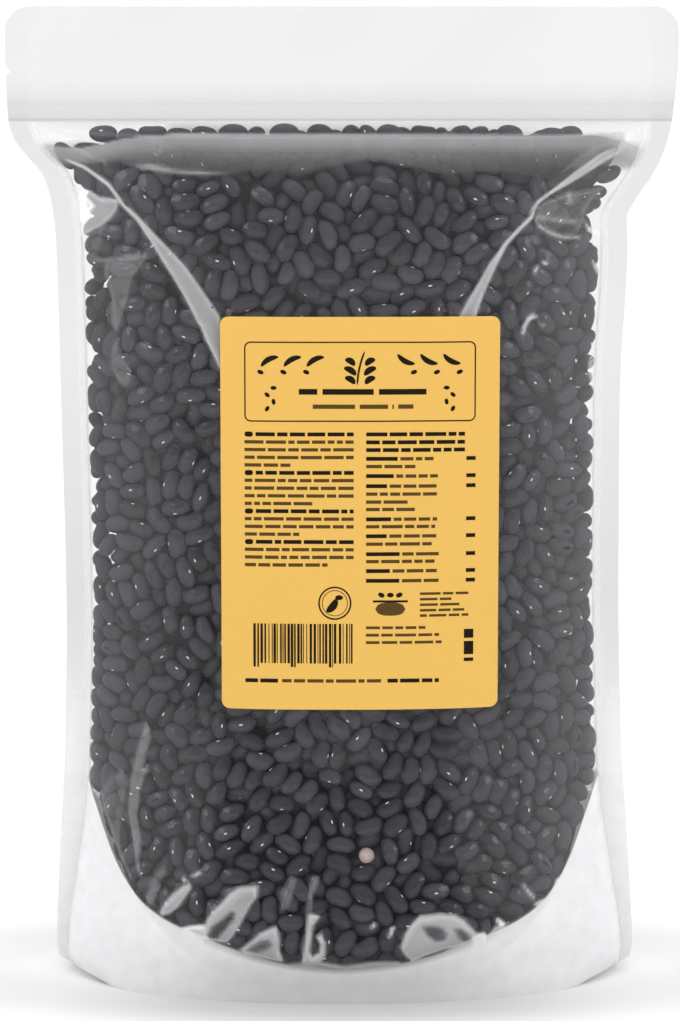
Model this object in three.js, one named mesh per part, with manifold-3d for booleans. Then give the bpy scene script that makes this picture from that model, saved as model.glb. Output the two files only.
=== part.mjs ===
// A stand-up pouch of clear film, full of dried beans, with a paper label on its front.
// Millimetres, +Z up. X runs across the pouch, the front faces -Y, and the pouch stands
// on Z = 0 with the middle of its width and depth over the origin.
import * as THREE from 'three';
import { mergeVertices } from 'three/addons/utils/BufferGeometryUtils.js';
import Module from 'manifold-3d';

// Driving dimensions of the pouch
const HEIGHT = 375;
const SEAL_LINE = 332;          // the wide sealed header starts here
const SIDE_SEAL = 9.5;          // width of the seal down each side
const FOOT_SEAL = 4;            // the same seal where it spreads into the foot
const FILM = 1;                 // thickness of the welded films, as modelled
const TOP_RADIUS = 9;           // round corners of the header
const FOOT_RADIUS = 8;          // round corners of the foot

// Half width of the pouch at heights above its foot, left and right, before the corners
const LEFT_EDGE = [[0, 112.7], [45, 110.8], [90, 108], [150, 106.5], [230, 107.4], [285, 108.2],
  [301, 109.6], [312, 112.8], [319, 118.4], [326, 123.6], [334, 125.6], [356, 126.3], [375, 126.2]];
const RIGHT_EDGE = [[0, 115], [45, 112.6], [90, 109.2], [150, 107.1], [230, 106.4], [285, 108.4],
  [296, 107.8], [303, 111.2], [312, 117.2], [320, 121.1], [330, 123.9], [345, 125.6], [358, 126.3],
  [375, 126.2]];

// Half depth of the filled bag on its middle line at heights above its foot
const HALF_DEPTH = [[0, 47], [14, 45.8], [50, 40], [100, 32.8], [150, 28], [200, 25.2],
  [250, 23], [285, 21], [303, 18.2], [314, 14.4], [322, 10.4], [328, 7.4], [331, 3.5], [332, 0.5]];

// The weld between the gusset and the front, low in the middle: heights at distances from it
const ARC_HIGH = 78;
const ARC_REACH = 100;
const WELD_LINE = [[0, 13], [16, 14.2], [31, 17], [46, 21.5], [61, 26.4], [69, 29.8], [77, 35],
  [83, 42], [88, 50.5], [92, 60], [96, 70], [ARC_REACH, ARC_HIGH]];
const ARC_BULGE = 2.6;          // how far the beans push out just above the weld
const GUSSET_PATCH = 34;        // half length of the strip of gusset that rests on the table

// The two creases that run from the upper corners down to the label
const CREASES = [
  [[-109, 321], [-84, 308], [-47, 262]],
  [[110, 319], [72, 306], [44, 268]],
];
const CREASE_DEPTH = 3.2;
const CREASE_WIDTH = 6;

const NOTCH = { z: 351, depth: 2.2, height: 3.4 };

// The label, a rounded sheet that follows the front
const LABEL = { x: 6.9, low: 112, high: 261, width: 105, radius: 3, thickness: 0.5, gap: 0.3 };
const LABEL_MARGIN = 6;         // the beans press through only this far outside it

// The beans that show through the film, as low bumps
const BUMP_DEPTH = 2.2;
const BUMP_DRIFT = 0.9;

const COLUMNS = 34;
const FOOT_ROWS = 3;
const BAG_ROWS = 52;
const HEADER_ROWS = 2;
const CORNER_ROWS = 4;

// Smooth curve through stations of [height, value], with no overshoot between them
function stationCurve(stations) {
  const slopes = stations.map((station, i) => {
    if (i === 0 || i === stations.length - 1) return 0;
    const before = (station[1] - stations[i - 1][1]) / (station[0] - stations[i - 1][0]);
    const after = (stations[i + 1][1] - station[1]) / (stations[i + 1][0] - station[0]);
    return before * after > 0 ? (2 * before * after) / (before + after) : 0;
  });
  return (height) => {
    const last = stations.length - 1;
    if (height <= stations[0][0]) return stations[0][1];
    if (height >= stations[last][0]) return stations[last][1];
    let i = 0;
    while (height > stations[i + 1][0]) i += 1;
    const span = stations[i + 1][0] - stations[i][0];
    const t = (height - stations[i][0]) / span;
    const u = 1 - t;
    return stations[i][1] * u * u * (1 + 2 * t) + stations[i + 1][1] * t * t * (1 + 2 * u)
      + span * t * u * (slopes[i] * u - slopes[i + 1] * t);
  };
}

const leftEdge = stationCurve(LEFT_EDGE);
const rightEdge = stationCurve(RIGHT_EDGE);
const halfDepth = stationCurve(HALF_DEPTH);
const weldLine = stationCurve(WELD_LINE);

function smoothStep(from, to, value) {
  const t = Math.min(Math.max((value - from) / (to - from), 0), 1);
  return t * t * (3 - 2 * t);
}

// How much the round corners take off the width at a height
function cornerCut(z) {
  const overTop = Math.max(z - (HEIGHT - TOP_RADIUS), 0);
  const underFoot = Math.max(FOOT_RADIUS - z, 0);
  return TOP_RADIUS - Math.sqrt(TOP_RADIUS ** 2 - overTop ** 2)
    + FOOT_RADIUS - Math.sqrt(FOOT_RADIUS ** 2 - underFoot ** 2);
}

// Outer edge of the film and the seam where the bag starts, on one side (-1 or 1)
function outerEdge(side, z) {
  return (side < 0 ? leftEdge(z) : rightEdge(z)) - cornerCut(z);
}

function seam(side, z) {
  return outerEdge(side, z) - THREE.MathUtils.lerp(FOOT_SEAL, SIDE_SEAL, smoothStep(0, 80, z));
}

// Height of the gusset's weld on the front and the back
function weldHeight(x) {
  return weldLine(Math.abs(x));
}

const creaseCurves = CREASES.map(([ear, bend, end]) => new THREE.QuadraticBezierCurve(
  new THREE.Vector2(...ear), new THREE.Vector2(...bend), new THREE.Vector2(...end)).getPoints(12));

// Depth of the nearest crease at a point of the front, deepest in the middle of its length
function creaseDepth(x, z) {
  let depth = 0;
  const point = new THREE.Vector2(x, z);
  for (const points of creaseCurves) {
    points.forEach((at, i) => {
      const along = i / (points.length - 1);
      const strength = Math.sin(Math.PI * (0.12 + 0.8 * along));
      const near = Math.exp(-((point.distanceTo(at) / CREASE_WIDTH) ** 2));
      depth = Math.max(depth, CREASE_DEPTH * strength * near);
    });
  }
  return depth;
}

// Smooth half depth of the bag at a point, without the beans' bumps
function bagDepth(x, z, front) {
  const edge = seam(Math.sign(x) || 1, z);
  const s = Math.min(Math.abs(x) / edge, 1);
  const flat = smoothStep(40, 290, z);
  const roundness = THREE.MathUtils.lerp(2.2, 2.9, flat) + 2.5 * smoothStep(296, 316, z);
  const profile = (1 - s ** roundness) ** 0.52;
  const depth = halfDepth(z) - FILM / 2;
  const above = z - weldHeight(x);
  const bulge = ARC_BULGE * smoothStep(0, 9, above) * (1 - smoothStep(12, 70, above));
  const crease = front ? creaseDepth(x, z) : 0;
  return FILM / 2 + Math.max((depth + bulge) * profile - crease * Math.min(profile * 3, 1), 0);
}

// A repeatable random number from 0 to 1 for a grid point
function chance(row, column, salt) {
  const wave = Math.sin(row * 127.1 + column * 311.7 + salt * 74.7) * 43758.5453;
  return wave - Math.floor(wave);
}

// Where the beans show through: off the seals, the foot's skirt and the label
function bumpStrength(x, z, front) {
  const edge = seam(Math.sign(x) || 1, z);
  const insideSeams = smoothStep(0, 7, edge - Math.abs(x));
  const aboveWeld = smoothStep(1, 7, z - weldHeight(x));
  const belowTop = 1 - smoothStep(318, 328, z);
  const pastLabel = Math.max(Math.abs(x - LABEL.x) - LABEL.width / 2, LABEL.low - z, z - LABEL.high);
  const offLabel = front ? smoothStep(1, LABEL_MARGIN, pastLabel) : 1;
  return insideSeams * aboveWeld * belowTop * offLabel;
}

// Positions across the bag from seam to seam, evenly spaced along its curved skin
function skinColumns(z) {
  const fine = 400;
  const left = -seam(-1, z);
  const right = seam(1, z);
  const lengths = [0];
  for (let i = 1; i <= fine; i += 1) {
    const x0 = THREE.MathUtils.lerp(left, right, (i - 1) / fine);
    const x1 = THREE.MathUtils.lerp(left, right, i / fine);
    lengths.push(lengths[i - 1] + Math.hypot(x1 - x0, bagDepth(x1, z, false) - bagDepth(x0, z, false)));
  }
  const columns = [];
  let i = 0;
  for (let column = 0; column <= COLUMNS; column += 1) {
    const wanted = lengths[fine] * column / COLUMNS;
    while (i < fine && lengths[i] < wanted) i += 1;
    columns.push(THREE.MathUtils.lerp(left, right, i / fine));
  }
  return columns;
}

function rowHeights() {
  const rows = [];
  for (let i = 0; i < FOOT_ROWS; i += 1) rows.push(FOOT_RADIUS * (1 - Math.cos(i / FOOT_ROWS * Math.PI / 2)));
  for (let i = 0; i < BAG_ROWS; i += 1) rows.push(THREE.MathUtils.lerp(FOOT_RADIUS, SEAL_LINE, i / BAG_ROWS));
  const corner = HEIGHT - TOP_RADIUS;
  for (let i = 0; i < HEADER_ROWS; i += 1) rows.push(THREE.MathUtils.lerp(SEAL_LINE, corner, i / HEADER_ROWS));
  for (let i = 0; i <= CORNER_ROWS; i += 1) rows.push(corner + TOP_RADIUS * Math.sin(i / CORNER_ROWS * Math.PI / 2));
  return rows;
}

// One skin of the pouch as a grid of points: front (sign -1) or back (sign 1)
function skinGrid(rows, sign, inset) {
  const front = sign < 0;
  return rows.map((z, row) => {
    const columns = [-outerEdge(-1, z), ...skinColumns(z), outerEdge(1, z)];
    return columns.map((x, column) => {
      const strength = bumpStrength(x, z, front) * (inset > 0 ? 0 : 1);
      const drift = BUMP_DRIFT * strength;
      const px = x + drift * (chance(row, column, sign) - 0.5) * 2;
      const pz = z + drift * (chance(row, column, sign + 5) - 0.5) * 2;
      const hollow = (row + column) % 2 ? BUMP_DEPTH * (0.45 + 0.55 * chance(row, column, sign + 9)) : 0;
      const depth = bagDepth(px, pz, front) - hollow * strength - inset;
      return new THREE.Vector3(px, sign * Math.max(depth, FILM / 2 - Math.min(inset, 0.3)), pz);
    });
  });
}

// A closed mesh from a front and a back grid of points, joined all round their rims
function closedShell(frontGrid, backGrid) {
  const rows = frontGrid.length;
  const columns = frontGrid[0].length;
  const positions = [];
  const indices = [];
  for (const grid of [frontGrid, backGrid]) grid.flat().forEach((point) => positions.push(...point.toArray()));
  const at = (back, row, column) => back * rows * columns + row * columns + column;
  const quad = (a, b, c, d, swap) => (swap
    ? indices.push(a, b, d, b, c, d)
    : indices.push(a, b, c, a, c, d));
  for (let row = 0; row < rows - 1; row += 1) {
    for (let column = 0; column < columns - 1; column += 1) {
      const swap = (row + column) % 2 === 0;
      quad(at(0, row, column), at(0, row, column + 1), at(0, row + 1, column + 1), at(0, row + 1, column), swap);
      quad(at(1, row, column + 1), at(1, row, column), at(1, row + 1, column), at(1, row + 1, column + 1), !swap);
    }
    quad(at(1, row, 0), at(0, row, 0), at(0, row + 1, 0), at(1, row + 1, 0), false);
    const end = columns - 1;
    quad(at(0, row, end), at(1, row, end), at(1, row + 1, end), at(0, row + 1, end), false);
  }
  for (let column = 0; column < columns - 1; column += 1) {
    const top = rows - 1;
    quad(at(1, 0, column), at(1, 0, column + 1), at(0, 0, column + 1), at(0, 0, column), false);
    quad(at(0, top, column), at(0, top, column + 1), at(1, top, column + 1), at(1, top, column), false);
  }
  const geometry = new THREE.BufferGeometry();
  geometry.setAttribute('position', new THREE.Float32BufferAttribute(positions, 3));
  geometry.setIndex(indices);
  return geometry;
}

const wasm = await Module();
wasm.setup();

function toSolid(geometry) {
  const bare = geometry.clone();
  bare.deleteAttribute('normal');
  bare.deleteAttribute('uv');
  const merged = mergeVertices(bare, 1e-4);
  return new wasm.Manifold(new wasm.Mesh({
    numProp: 3,
    vertProperties: new Float32Array(merged.attributes.position.array),
    triVerts: new Uint32Array(merged.index.array),
  }));
}

function toGeometry(solid) {
  const mesh = solid.getMesh();
  const geometry = new THREE.BufferGeometry();
  geometry.setAttribute('position', new THREE.Float32BufferAttribute(mesh.vertProperties, 3));
  geometry.setIndex(Array.from(mesh.triVerts));
  geometry.computeVertexNormals();
  return geometry;
}

// The hollow under the foot: below the gusset film, which arches from the front weld to the
// back weld and sags onto the table in the middle
function gussetRise(x, across) {
  const weld = weldHeight(x);
  const middle = weld * smoothStep(GUSSET_PATCH, ARC_REACH - 6, Math.abs(x));
  const flatHalf = 0.45;
  return THREE.MathUtils.lerp(middle, weld, smoothStep(flatHalf, 1, Math.abs(across)) ** 0.8) - 0.25;
}

function gussetHollow() {
  const below = -5;
  const reach = 107;
  const steps = { along: 24, across: 10 };
  const grids = { low: [], high: [] };
  for (let i = 0; i <= steps.across; i += 1) {
    const across = THREE.MathUtils.lerp(-1, 1, i / steps.across);
    const pointsAt = (height) => Array.from({ length: steps.along + 1 }, (_, j) => {
      const x = THREE.MathUtils.lerp(-reach, reach, j / steps.along);
      const y = across * (bagDepth(x, Math.min(weldHeight(x), 60), false) + 6);
      return new THREE.Vector3(x, y, height(x));
    });
    grids.high.push(pointsAt((x) => gussetRise(x, Math.sin(across * Math.PI / 2))));
    grids.low.push(pointsAt(() => below));
  }
  return toSolid(closedShell(grids.high, grids.low));
}

// The room inside the skirt, one film in from its outer faces
function insideSkirt(rows) {
  const low = rows.filter((z) => z <= ARC_HIGH + 8);
  const lowered = (grid) => grid.map((line, i) => (i > 0 ? line : line.map((p) => p.clone().setZ(-3))));
  const front = lowered(skinGrid(low, -1, FILM).map((line) => line.slice(1, -1)));
  const back = lowered(skinGrid(low, 1, FILM).map((line) => line.slice(1, -1)));
  return toSolid(closedShell(front, back));
}

function tearNotch() {
  const shape = new THREE.Shape([
    new THREE.Vector2(-NOTCH.depth * 2, -NOTCH.height),
    new THREE.Vector2(NOTCH.depth, 0),
    new THREE.Vector2(-NOTCH.depth * 2, NOTCH.height),
  ]);
  const wedge = new THREE.ExtrudeGeometry(shape, { depth: FILM * 4, bevelEnabled: false });
  wedge.translate(0, 0, -FILM * 2);
  wedge.rotateX(Math.PI / 2);
  wedge.translate(-outerEdge(-1, NOTCH.z), 0, NOTCH.z);
  return toSolid(wedge);
}

function makePouch() {
  const rows = rowHeights();
  const bag = toSolid(closedShell(skinGrid(rows, -1, 0), skinGrid(rows, 1, 0)));
  const hollow = gussetHollow().intersect(insideSkirt(rows));
  const film = new THREE.MeshStandardMaterial({ color: 0x4c4b50, roughness: 0.3, metalness: 0 });
  const mesh = new THREE.Mesh(toGeometry(bag.subtract(hollow).subtract(tearNotch())), film);
  mesh.name = 'pouch';
  return mesh;
}

// The label as a bent sheet with round corners
function makeLabel() {
  const steps = { along: 12, up: 14, corner: 4 };
  const { low, high, radius } = LABEL;
  const rows = [];
  for (let i = 0; i < steps.corner; i += 1) rows.push(low + radius * (1 - Math.cos(i / steps.corner * Math.PI / 2)));
  for (let i = 0; i < steps.up; i += 1) rows.push(THREE.MathUtils.lerp(low + radius, high - radius, i / steps.up));
  for (let i = 0; i <= steps.corner; i += 1) rows.push(high - radius + radius * Math.sin(i / steps.corner * Math.PI / 2));
  const sheet = (lift) => rows.map((z) => {
    const past = Math.max(low + radius - z, z - (high - radius), 0);
    const half = LABEL.width / 2 - radius + Math.sqrt(Math.max(radius ** 2 - past ** 2, 0));
    return Array.from({ length: steps.along + 1 }, (_, j) => {
      const x = LABEL.x + THREE.MathUtils.lerp(-half, half, j / steps.along);
      return new THREE.Vector3(x, -(bagDepth(x, z, true) + lift), z);
    });
  });
  const solid = toSolid(closedShell(sheet(LABEL.gap + LABEL.thickness), sheet(LABEL.gap)));
  const paper = new THREE.MeshStandardMaterial({ color: 0xf7c360, roughness: 0.65, metalness: 0 });
  const mesh = new THREE.Mesh(toGeometry(solid), paper);
  mesh.name = 'label';
  return mesh;
}

const bagOfBeans = new THREE.Group();
bagOfBeans.add(makePouch(), makeLabel());

export default bagOfBeans;
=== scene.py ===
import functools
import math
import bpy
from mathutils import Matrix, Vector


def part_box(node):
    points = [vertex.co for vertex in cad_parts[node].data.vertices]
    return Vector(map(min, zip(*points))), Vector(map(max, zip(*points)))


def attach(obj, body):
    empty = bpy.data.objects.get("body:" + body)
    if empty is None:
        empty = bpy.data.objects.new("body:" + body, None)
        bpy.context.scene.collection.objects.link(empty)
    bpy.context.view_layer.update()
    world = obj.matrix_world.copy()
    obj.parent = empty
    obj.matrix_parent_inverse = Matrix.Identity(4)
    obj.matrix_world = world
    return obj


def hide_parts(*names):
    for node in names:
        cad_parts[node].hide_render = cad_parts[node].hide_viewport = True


bl_info = {
    "name": "Bag of dried beans",
    "version": (1, 0, 0),
    "blender": (4, 5, 0),
    "location": "3D View > Sidebar > Bean Bag",
    "description": "A clear stand-up pouch of dried beans with a printed paper label",
    "category": "Object",
}

import bmesh
import bpy
import numpy as np
from mathutils import Vector
from mathutils.bvhtree import BVHTree

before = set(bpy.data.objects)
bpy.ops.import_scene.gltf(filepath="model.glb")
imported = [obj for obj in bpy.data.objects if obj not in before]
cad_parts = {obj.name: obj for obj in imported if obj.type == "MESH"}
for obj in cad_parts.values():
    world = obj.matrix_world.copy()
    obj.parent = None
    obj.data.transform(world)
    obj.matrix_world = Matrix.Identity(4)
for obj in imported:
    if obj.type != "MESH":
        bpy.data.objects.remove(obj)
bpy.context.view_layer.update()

# The shape below is in millimetres, and Blender's unit is the metre
MM = 0.001

# Driving dimensions of the pouch, as the solids have them
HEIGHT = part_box("pouch")[1].z / MM
SEAL_LINE = 332
SIDE_SEAL = 9.5
FOOT_SEAL = 4
FOOT_SEAL_HEIGHTS = (0, 80)
SOLID_FILM = 1
TOP_RADIUS = 9
FOOT_RADIUS = 8
LEFT_EDGE = [[0, 112.7], [45, 110.8], [90, 108], [150, 106.5], [230, 107.4], [285, 108.2],
             [301, 109.6], [312, 112.8], [319, 118.4], [326, 123.6], [334, 125.6], [356, 126.3],
             [375, 126.2]]
RIGHT_EDGE = [[0, 115], [45, 112.6], [90, 109.2], [150, 107.1], [230, 106.4], [285, 108.4],
              [296, 107.8], [303, 111.2], [312, 117.2], [320, 121.1], [330, 123.9],
              [345, 125.6], [358, 126.3], [375, 126.2]]
HALF_DEPTH = [[0, 47], [14, 45.8], [50, 40], [100, 32.8], [150, 28], [200, 25.2],
              [250, 23], [285, 21], [303, 18.2], [314, 14.4], [322, 10.4], [328, 7.4],
              [331, 3.5], [332, 0.5]]
ARC_HIGH = 78
ARC_REACH = 100
WELD_LINE = [[0, 13], [16, 14.2], [31, 17], [46, 21.5], [61, 26.4], [69, 29.8], [77, 35],
             [83, 42], [88, 50.5], [92, 60], [96, 70], [ARC_REACH, ARC_HIGH]]
ARC_BULGE = 2.6
BULGE_RISE = (0, 9)
BULGE_FALL = (12, 70)
GUSSET_PATCH = 34
GUSSET_REACH = 94
LABEL_X = 6.9
LABEL_LOW = 112
LABEL_HIGH = 261
LABEL_WIDTH = 105
LABEL_RADIUS = 3
LABEL_LIFT = 0.3
NOTCH_Z = 351
NOTCH_DEPTH = 2.2
NOTCH_HEIGHT = 3.4
# How round the bag's cross-section is at two heights, how much rounder it gets under the header,
# and how bluntly it meets the seams
ROUND_HEIGHTS = (40, 290)
ROUNDNESS = (2.2, 2.9)
TOP_ROUND_HEIGHTS = (296, 316)
TOP_ROUNDNESS = 2.5
BLUNTNESS = 0.52
# The gusset film lies flat on this share of its way to the weld, rises on a curve, and clears
# the table by the gap
GUSSET_FLAT = 0.45
GUSSET_CURVE = 0.8
TABLE_GAP = 0.1

# Half of the welded film, the gap between the skirt's two skins, and the paper: each is thinner
# than in the solids. The print stands out from the paper by the last value, and is sunk as far
FILM_HALF = 0.15
SKIRT_GAP = 0.3
LABEL_THICK = 0.25
INK_THICK = 0.05

# The two creases from the upper corners to the label: points of the upper edge in X and Z, and
# the wall's width there
CREASES = [
    [(-106, 319.5, 0.6), (-96.5, 316, 0.7), (-86.9, 309.5, 0.8), (-82, 302.6, 0.7),
     (-75.6, 296.8, 1.2), (-69.9, 290.6, 2.4), (-64.3, 285.1, 4.3), (-58.6, 278.9, 5.7),
     (-53.1, 271.1, 6.4), (-46, 260.4, 7.8), (-45.2, 251, 5.0), (-45.2, 242, 0.5)],
    [(106.5, 324.6, 2.4), (97, 320.6, 2.9), (87.4, 314, 2.3), (81.8, 309.7, 1.3),
     (77.2, 306.4, 0.7), (73, 303.3, 0.6), (71.4, 300.6, 0.6), (70.6, 297.6, 0.8),
     (67.1, 294.4, 0.8), (61.1, 288.2, 0.8), (58.4, 284.1, 1.4), (55.4, 280.4, 2.3),
     (51, 272.3, 2.9), (48, 267.5, 4.0), (45, 262, 5.2), (43, 258, 5.6)],
]
CREASE_SLOPE = 0.34
CREASE_LEAST = 2.5
CREASE_UPPER_WALL = 2.2
CREASE_START = (-0.02, 0.12)
CREASE_END = (0.97, 1.0)
# Where the film is pinched in below the upper corners: X, Z, half width and half height
PINCHES = [(-101, 301, 7, 5), (101, 294.5, 9, 6)]

SEED = 7


def smooth_step(low, high, value):
    t = np.clip((value - low) / (high - low), 0, 1)
    return t * t * (3 - 2 * t)


def mix(low, high, t):
    return low + (high - low) * t


def station_curve(stations, heights):
    """Smooth curve through stations of [height, value], with no overshoot between them."""
    known = np.array(stations, float)
    z, value = known[:, 0], known[:, 1]
    steps = np.diff(value) / np.diff(z)
    before, after = steps[:-1], steps[1:]
    slopes = np.zeros(len(z))
    turning = before * after <= 0
    slopes[1:-1] = np.where(turning, 0, 2 * before * after / np.where(turning, 1, before + after))
    height = np.clip(heights, z[0], z[-1])
    i = np.clip(np.searchsorted(z, height, side="right") - 1, 0, len(z) - 2)
    span = z[i + 1] - z[i]
    t = (height - z[i]) / span
    u = 1 - t
    ends = value[i] * u * u * (1 + 2 * t) + value[i + 1] * t * t * (1 + 2 * u)
    return ends + span * t * u * (slopes[i] * u - slopes[i + 1] * t)


def corner_cut(z):
    """How much the round corners take off the half width."""
    over = np.clip(z - (HEIGHT - TOP_RADIUS), 0, TOP_RADIUS)
    under = np.clip(FOOT_RADIUS - z, 0, FOOT_RADIUS)
    top = TOP_RADIUS - np.sqrt(TOP_RADIUS ** 2 - over ** 2)
    return top + FOOT_RADIUS - np.sqrt(FOOT_RADIUS ** 2 - under ** 2)


def outer_edge(x, z):
    """Half width of the film on the side of x."""
    edge = np.where(x < 0, station_curve(LEFT_EDGE, z), station_curve(RIGHT_EDGE, z))
    return edge - corner_cut(z)


def seam(x, z):
    """Half width of the filled bag on the side of x."""
    return outer_edge(x, z) - mix(FOOT_SEAL, SIDE_SEAL, smooth_step(*FOOT_SEAL_HEIGHTS, z))


def weld_height(x):
    """Height of the weld between the gusset and the front or the back."""
    return station_curve(WELD_LINE, np.abs(x))


def along_line(points, x, z):
    """Signed distance from the nearest point of a line, and how far along it that point is."""
    best = np.full(np.shape(x), np.inf)
    signed = np.zeros(np.shape(x))
    along = np.zeros(np.shape(x))
    for i in range(len(points) - 1):
        (ax, az), (bx, bz) = points[i], points[i + 1]
        run = np.array([bx - ax, bz - az], float)
        length = np.hypot(*run)
        t = np.clip(((x - ax) * run[0] + (z - az) * run[1]) / length ** 2, 0, 1)
        dx, dz = x - ax - t * run[0], z - az - t * run[1]
        distance = np.hypot(dx, dz)
        side = np.sign(run[0] * dz - run[1] * dx)
        nearer = distance < best
        best = np.where(nearer, distance, best)
        signed = np.where(nearer, distance * side, signed)
        along = np.where(nearer, (i + t) / (len(points) - 1), along)
    return signed, along


def crease_walls(x, z):
    """For both long creases: distance below the line, how far along it, and the wall's width."""
    for points in CREASES:
        signed, along = along_line([point[:2] for point in points], x, z)
        lower = signed if points[0][0] > 0 else -signed
        widths = [point[2] for point in points]
        yield lower, along, np.interp(along, np.linspace(0, 1, len(points)), widths)


def crease_depth(x, z):
    """Depth of the two long creases: a flat wall below the line and a short one above it."""
    depth = np.zeros(np.shape(x))
    for lower, along, broad in crease_walls(x, z):
        above = np.exp(-(lower / CREASE_UPPER_WALL) ** 2)
        wall = np.where(lower > 0, np.clip(1 - lower / broad, 0, 1), above)
        ends = smooth_step(*CREASE_START, along) * (1 - smooth_step(*CREASE_END, along))
        depth = np.maximum(depth, CREASE_SLOPE * np.maximum(broad, CREASE_LEAST) * wall * ends)
    return depth


def pinched(x, z):
    """Share of the bag's depth that the pinches leave."""
    left = np.ones(np.shape(x))
    for middle, height, wide, tall in PINCHES:
        left = left * (1 - np.exp(-((x - middle) / wide) ** 2 - ((z - height) / tall) ** 2))
    return left


def bag_depth(x, z, front):
    """Half depth of the filled bag at a place, without the beans' own relief."""
    edge = seam(x, z)
    s = np.minimum(np.abs(x) / edge, 1)
    # The foot's round corners draw in only the ends of its wall
    kept = corner_cut(np.minimum(z, SEAL_LINE)) * (1 - smooth_step(0.8, 1, s))
    s = np.minimum(np.abs(x) / (edge + kept), 1)
    roundness = mix(*ROUNDNESS, smooth_step(*ROUND_HEIGHTS, z))
    roundness = roundness + TOP_ROUNDNESS * smooth_step(*TOP_ROUND_HEIGHTS, z)
    profile = (1 - s ** roundness) ** BLUNTNESS * pinched(x, z)
    depth = station_curve(HALF_DEPTH, z) - SOLID_FILM / 2
    above = z - weld_height(x)
    bulge = ARC_BULGE * smooth_step(*BULGE_RISE, above) * (1 - smooth_step(*BULGE_FALL, above))
    crease = crease_depth(x, z) if front else 0
    inside = (depth + bulge) * profile - crease * np.minimum(profile * 3, 1)
    return FILM_HALF + np.maximum(inside, 0)


def gusset_height(x, across):
    """Height of the gusset film, from the weld at the front (-1) to the weld at the back (1)."""
    weld = weld_height(x)
    middle = weld * smooth_step(GUSSET_PATCH, GUSSET_REACH, np.abs(x))
    rise = smooth_step(GUSSET_FLAT, 1, np.abs(across)) ** GUSSET_CURVE
    return mix(middle, weld, rise) + TABLE_GAP


# The film's grid: columns run from the left edge to the right, rows from the header to the foot
SEAL_COLUMNS = 3
BAG_COLUMNS = 216
FRONT_ROWS = 272
BACK_SHARE = 4
# Half width, depth and roundness of the section along whose skin the columns are evenly spaced
COLUMN_SECTION = (97, 30, 2.5)
PLAN_SAMPLES = 2000
# How dense the rows are at shares of the way up the bag, from the weld to the header
ROW_DENSITY = [(0, 1.5), (0.14, 1.5), (0.2, 0.95), (0.3, 0.85), (0.74, 0.85), (0.8, 1.1), (1, 1.1)]
HEADER_ROWS = 12
HEADER_LINES = (332.8, 338.8)
HEADER_LINE_HALF = 0.6
CORNER_ROWS = 5
SKIRT_ROWS = 10
SKIRT_CROWDING = 1.3
GUSSET_ROWS = 16
# X and Z of a point depend on each other, and settle in this many rounds
PLACE_ROUNDS = 3
# Height of the header's waves, and how far below the header they start
WAVE_HEIGHT = 0.5
WAVE_START = 4


def column_plan():
    """For each column, its place between the seams (-1 to 1) and out on the side seal (0 to 1)."""
    wide, deep, roundness = COLUMN_SECTION
    fine = np.linspace(0, 1, PLAN_SAMPLES)
    skin = (1 - fine ** roundness) ** BLUNTNESS * deep
    lengths = np.append(0, np.cumsum(np.hypot(np.diff(fine) * wide, np.diff(skin))))
    half = np.interp(np.linspace(0, lengths[-1], BAG_COLUMNS // 2 + 1), lengths, fine)
    inner = np.concatenate([-half[:0:-1], half])
    outside = np.arange(1, SEAL_COLUMNS + 1) / SEAL_COLUMNS
    place = np.concatenate([-np.ones(SEAL_COLUMNS), inner, np.ones(SEAL_COLUMNS)])
    seal = np.concatenate([outside[::-1], np.zeros(len(inner)), outside])
    return place, seal


def row_plan(bag_rows):
    """Share of the way up the bag of each row from the header down to the weld."""
    fine = np.linspace(0, 1, PLAN_SAMPLES)
    total = np.append(0, np.cumsum(np.interp(fine[1:], *zip(*ROW_DENSITY))))
    return np.interp(np.linspace(total[-1], 0, bag_rows + 1), total, fine)


def column_x(place, seal, z):
    """X of each column at its height."""
    inner = seam(place, z)
    return np.sign(place) * mix(np.abs(place) * inner, outer_edge(place, z), seal)


@functools.lru_cache(maxsize=2)
def outer_sheet_places(bag_rows=FRONT_ROWS):
    """X and Z of every point of the front or back film, top row first, and the row at the weld."""
    place, seal = column_plan()
    corner = HEIGHT - TOP_RADIUS
    round_rows = corner + TOP_RADIUS * np.sin(np.linspace(math.pi / 2, 0, CORNER_ROWS))
    notch_rows = [NOTCH_Z - NOTCH_HEIGHT / 2, NOTCH_Z, NOTCH_Z + NOTCH_HEIGHT / 2]
    line_rows = [line + side * HEADER_LINE_HALF for line in HEADER_LINES for side in (-1, 0, 1)]
    header = np.concatenate([np.linspace(corner, SEAL_LINE, HEADER_ROWS)[1:-1], notch_rows,
                             line_rows])
    header = np.concatenate([round_rows, np.sort(header)[::-1]])
    down = row_plan(bag_rows)
    skirt = np.linspace(1, 0, SKIRT_ROWS + 1)[1:] ** SKIRT_CROWDING
    x_rows, z_rows = [], []
    for z in header:
        cut = NOTCH_DEPTH * max(0, 1 - abs(z - NOTCH_Z) / (NOTCH_HEIGHT / 2))
        row = column_x(place, seal, np.full(len(place), z))
        x_rows.append(row + cut * seal * (place < 0))
        z_rows.append(np.full(len(place), z))
    x = place * ARC_REACH
    for t in down:
        for _ in range(PLACE_ROUNDS):
            z = mix(weld_height(x), SEAL_LINE, t)
            x = column_x(place, seal, z)
        x_rows.append(x)
        z_rows.append(z)
    for t in skirt:
        z = weld_height(x_rows[-1]) * t
        for _ in range(PLACE_ROUNDS):
            x = column_x(place, seal, z)
            z = weld_height(x) * t
        x_rows.append(x)
        z_rows.append(z)
    return np.array(x_rows), np.array(z_rows), len(header) + bag_rows


def back_sheet_places():
    """The same for the back film, which has fewer rows."""
    return outer_sheet_places(FRONT_ROWS // BACK_SHARE)


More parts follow.
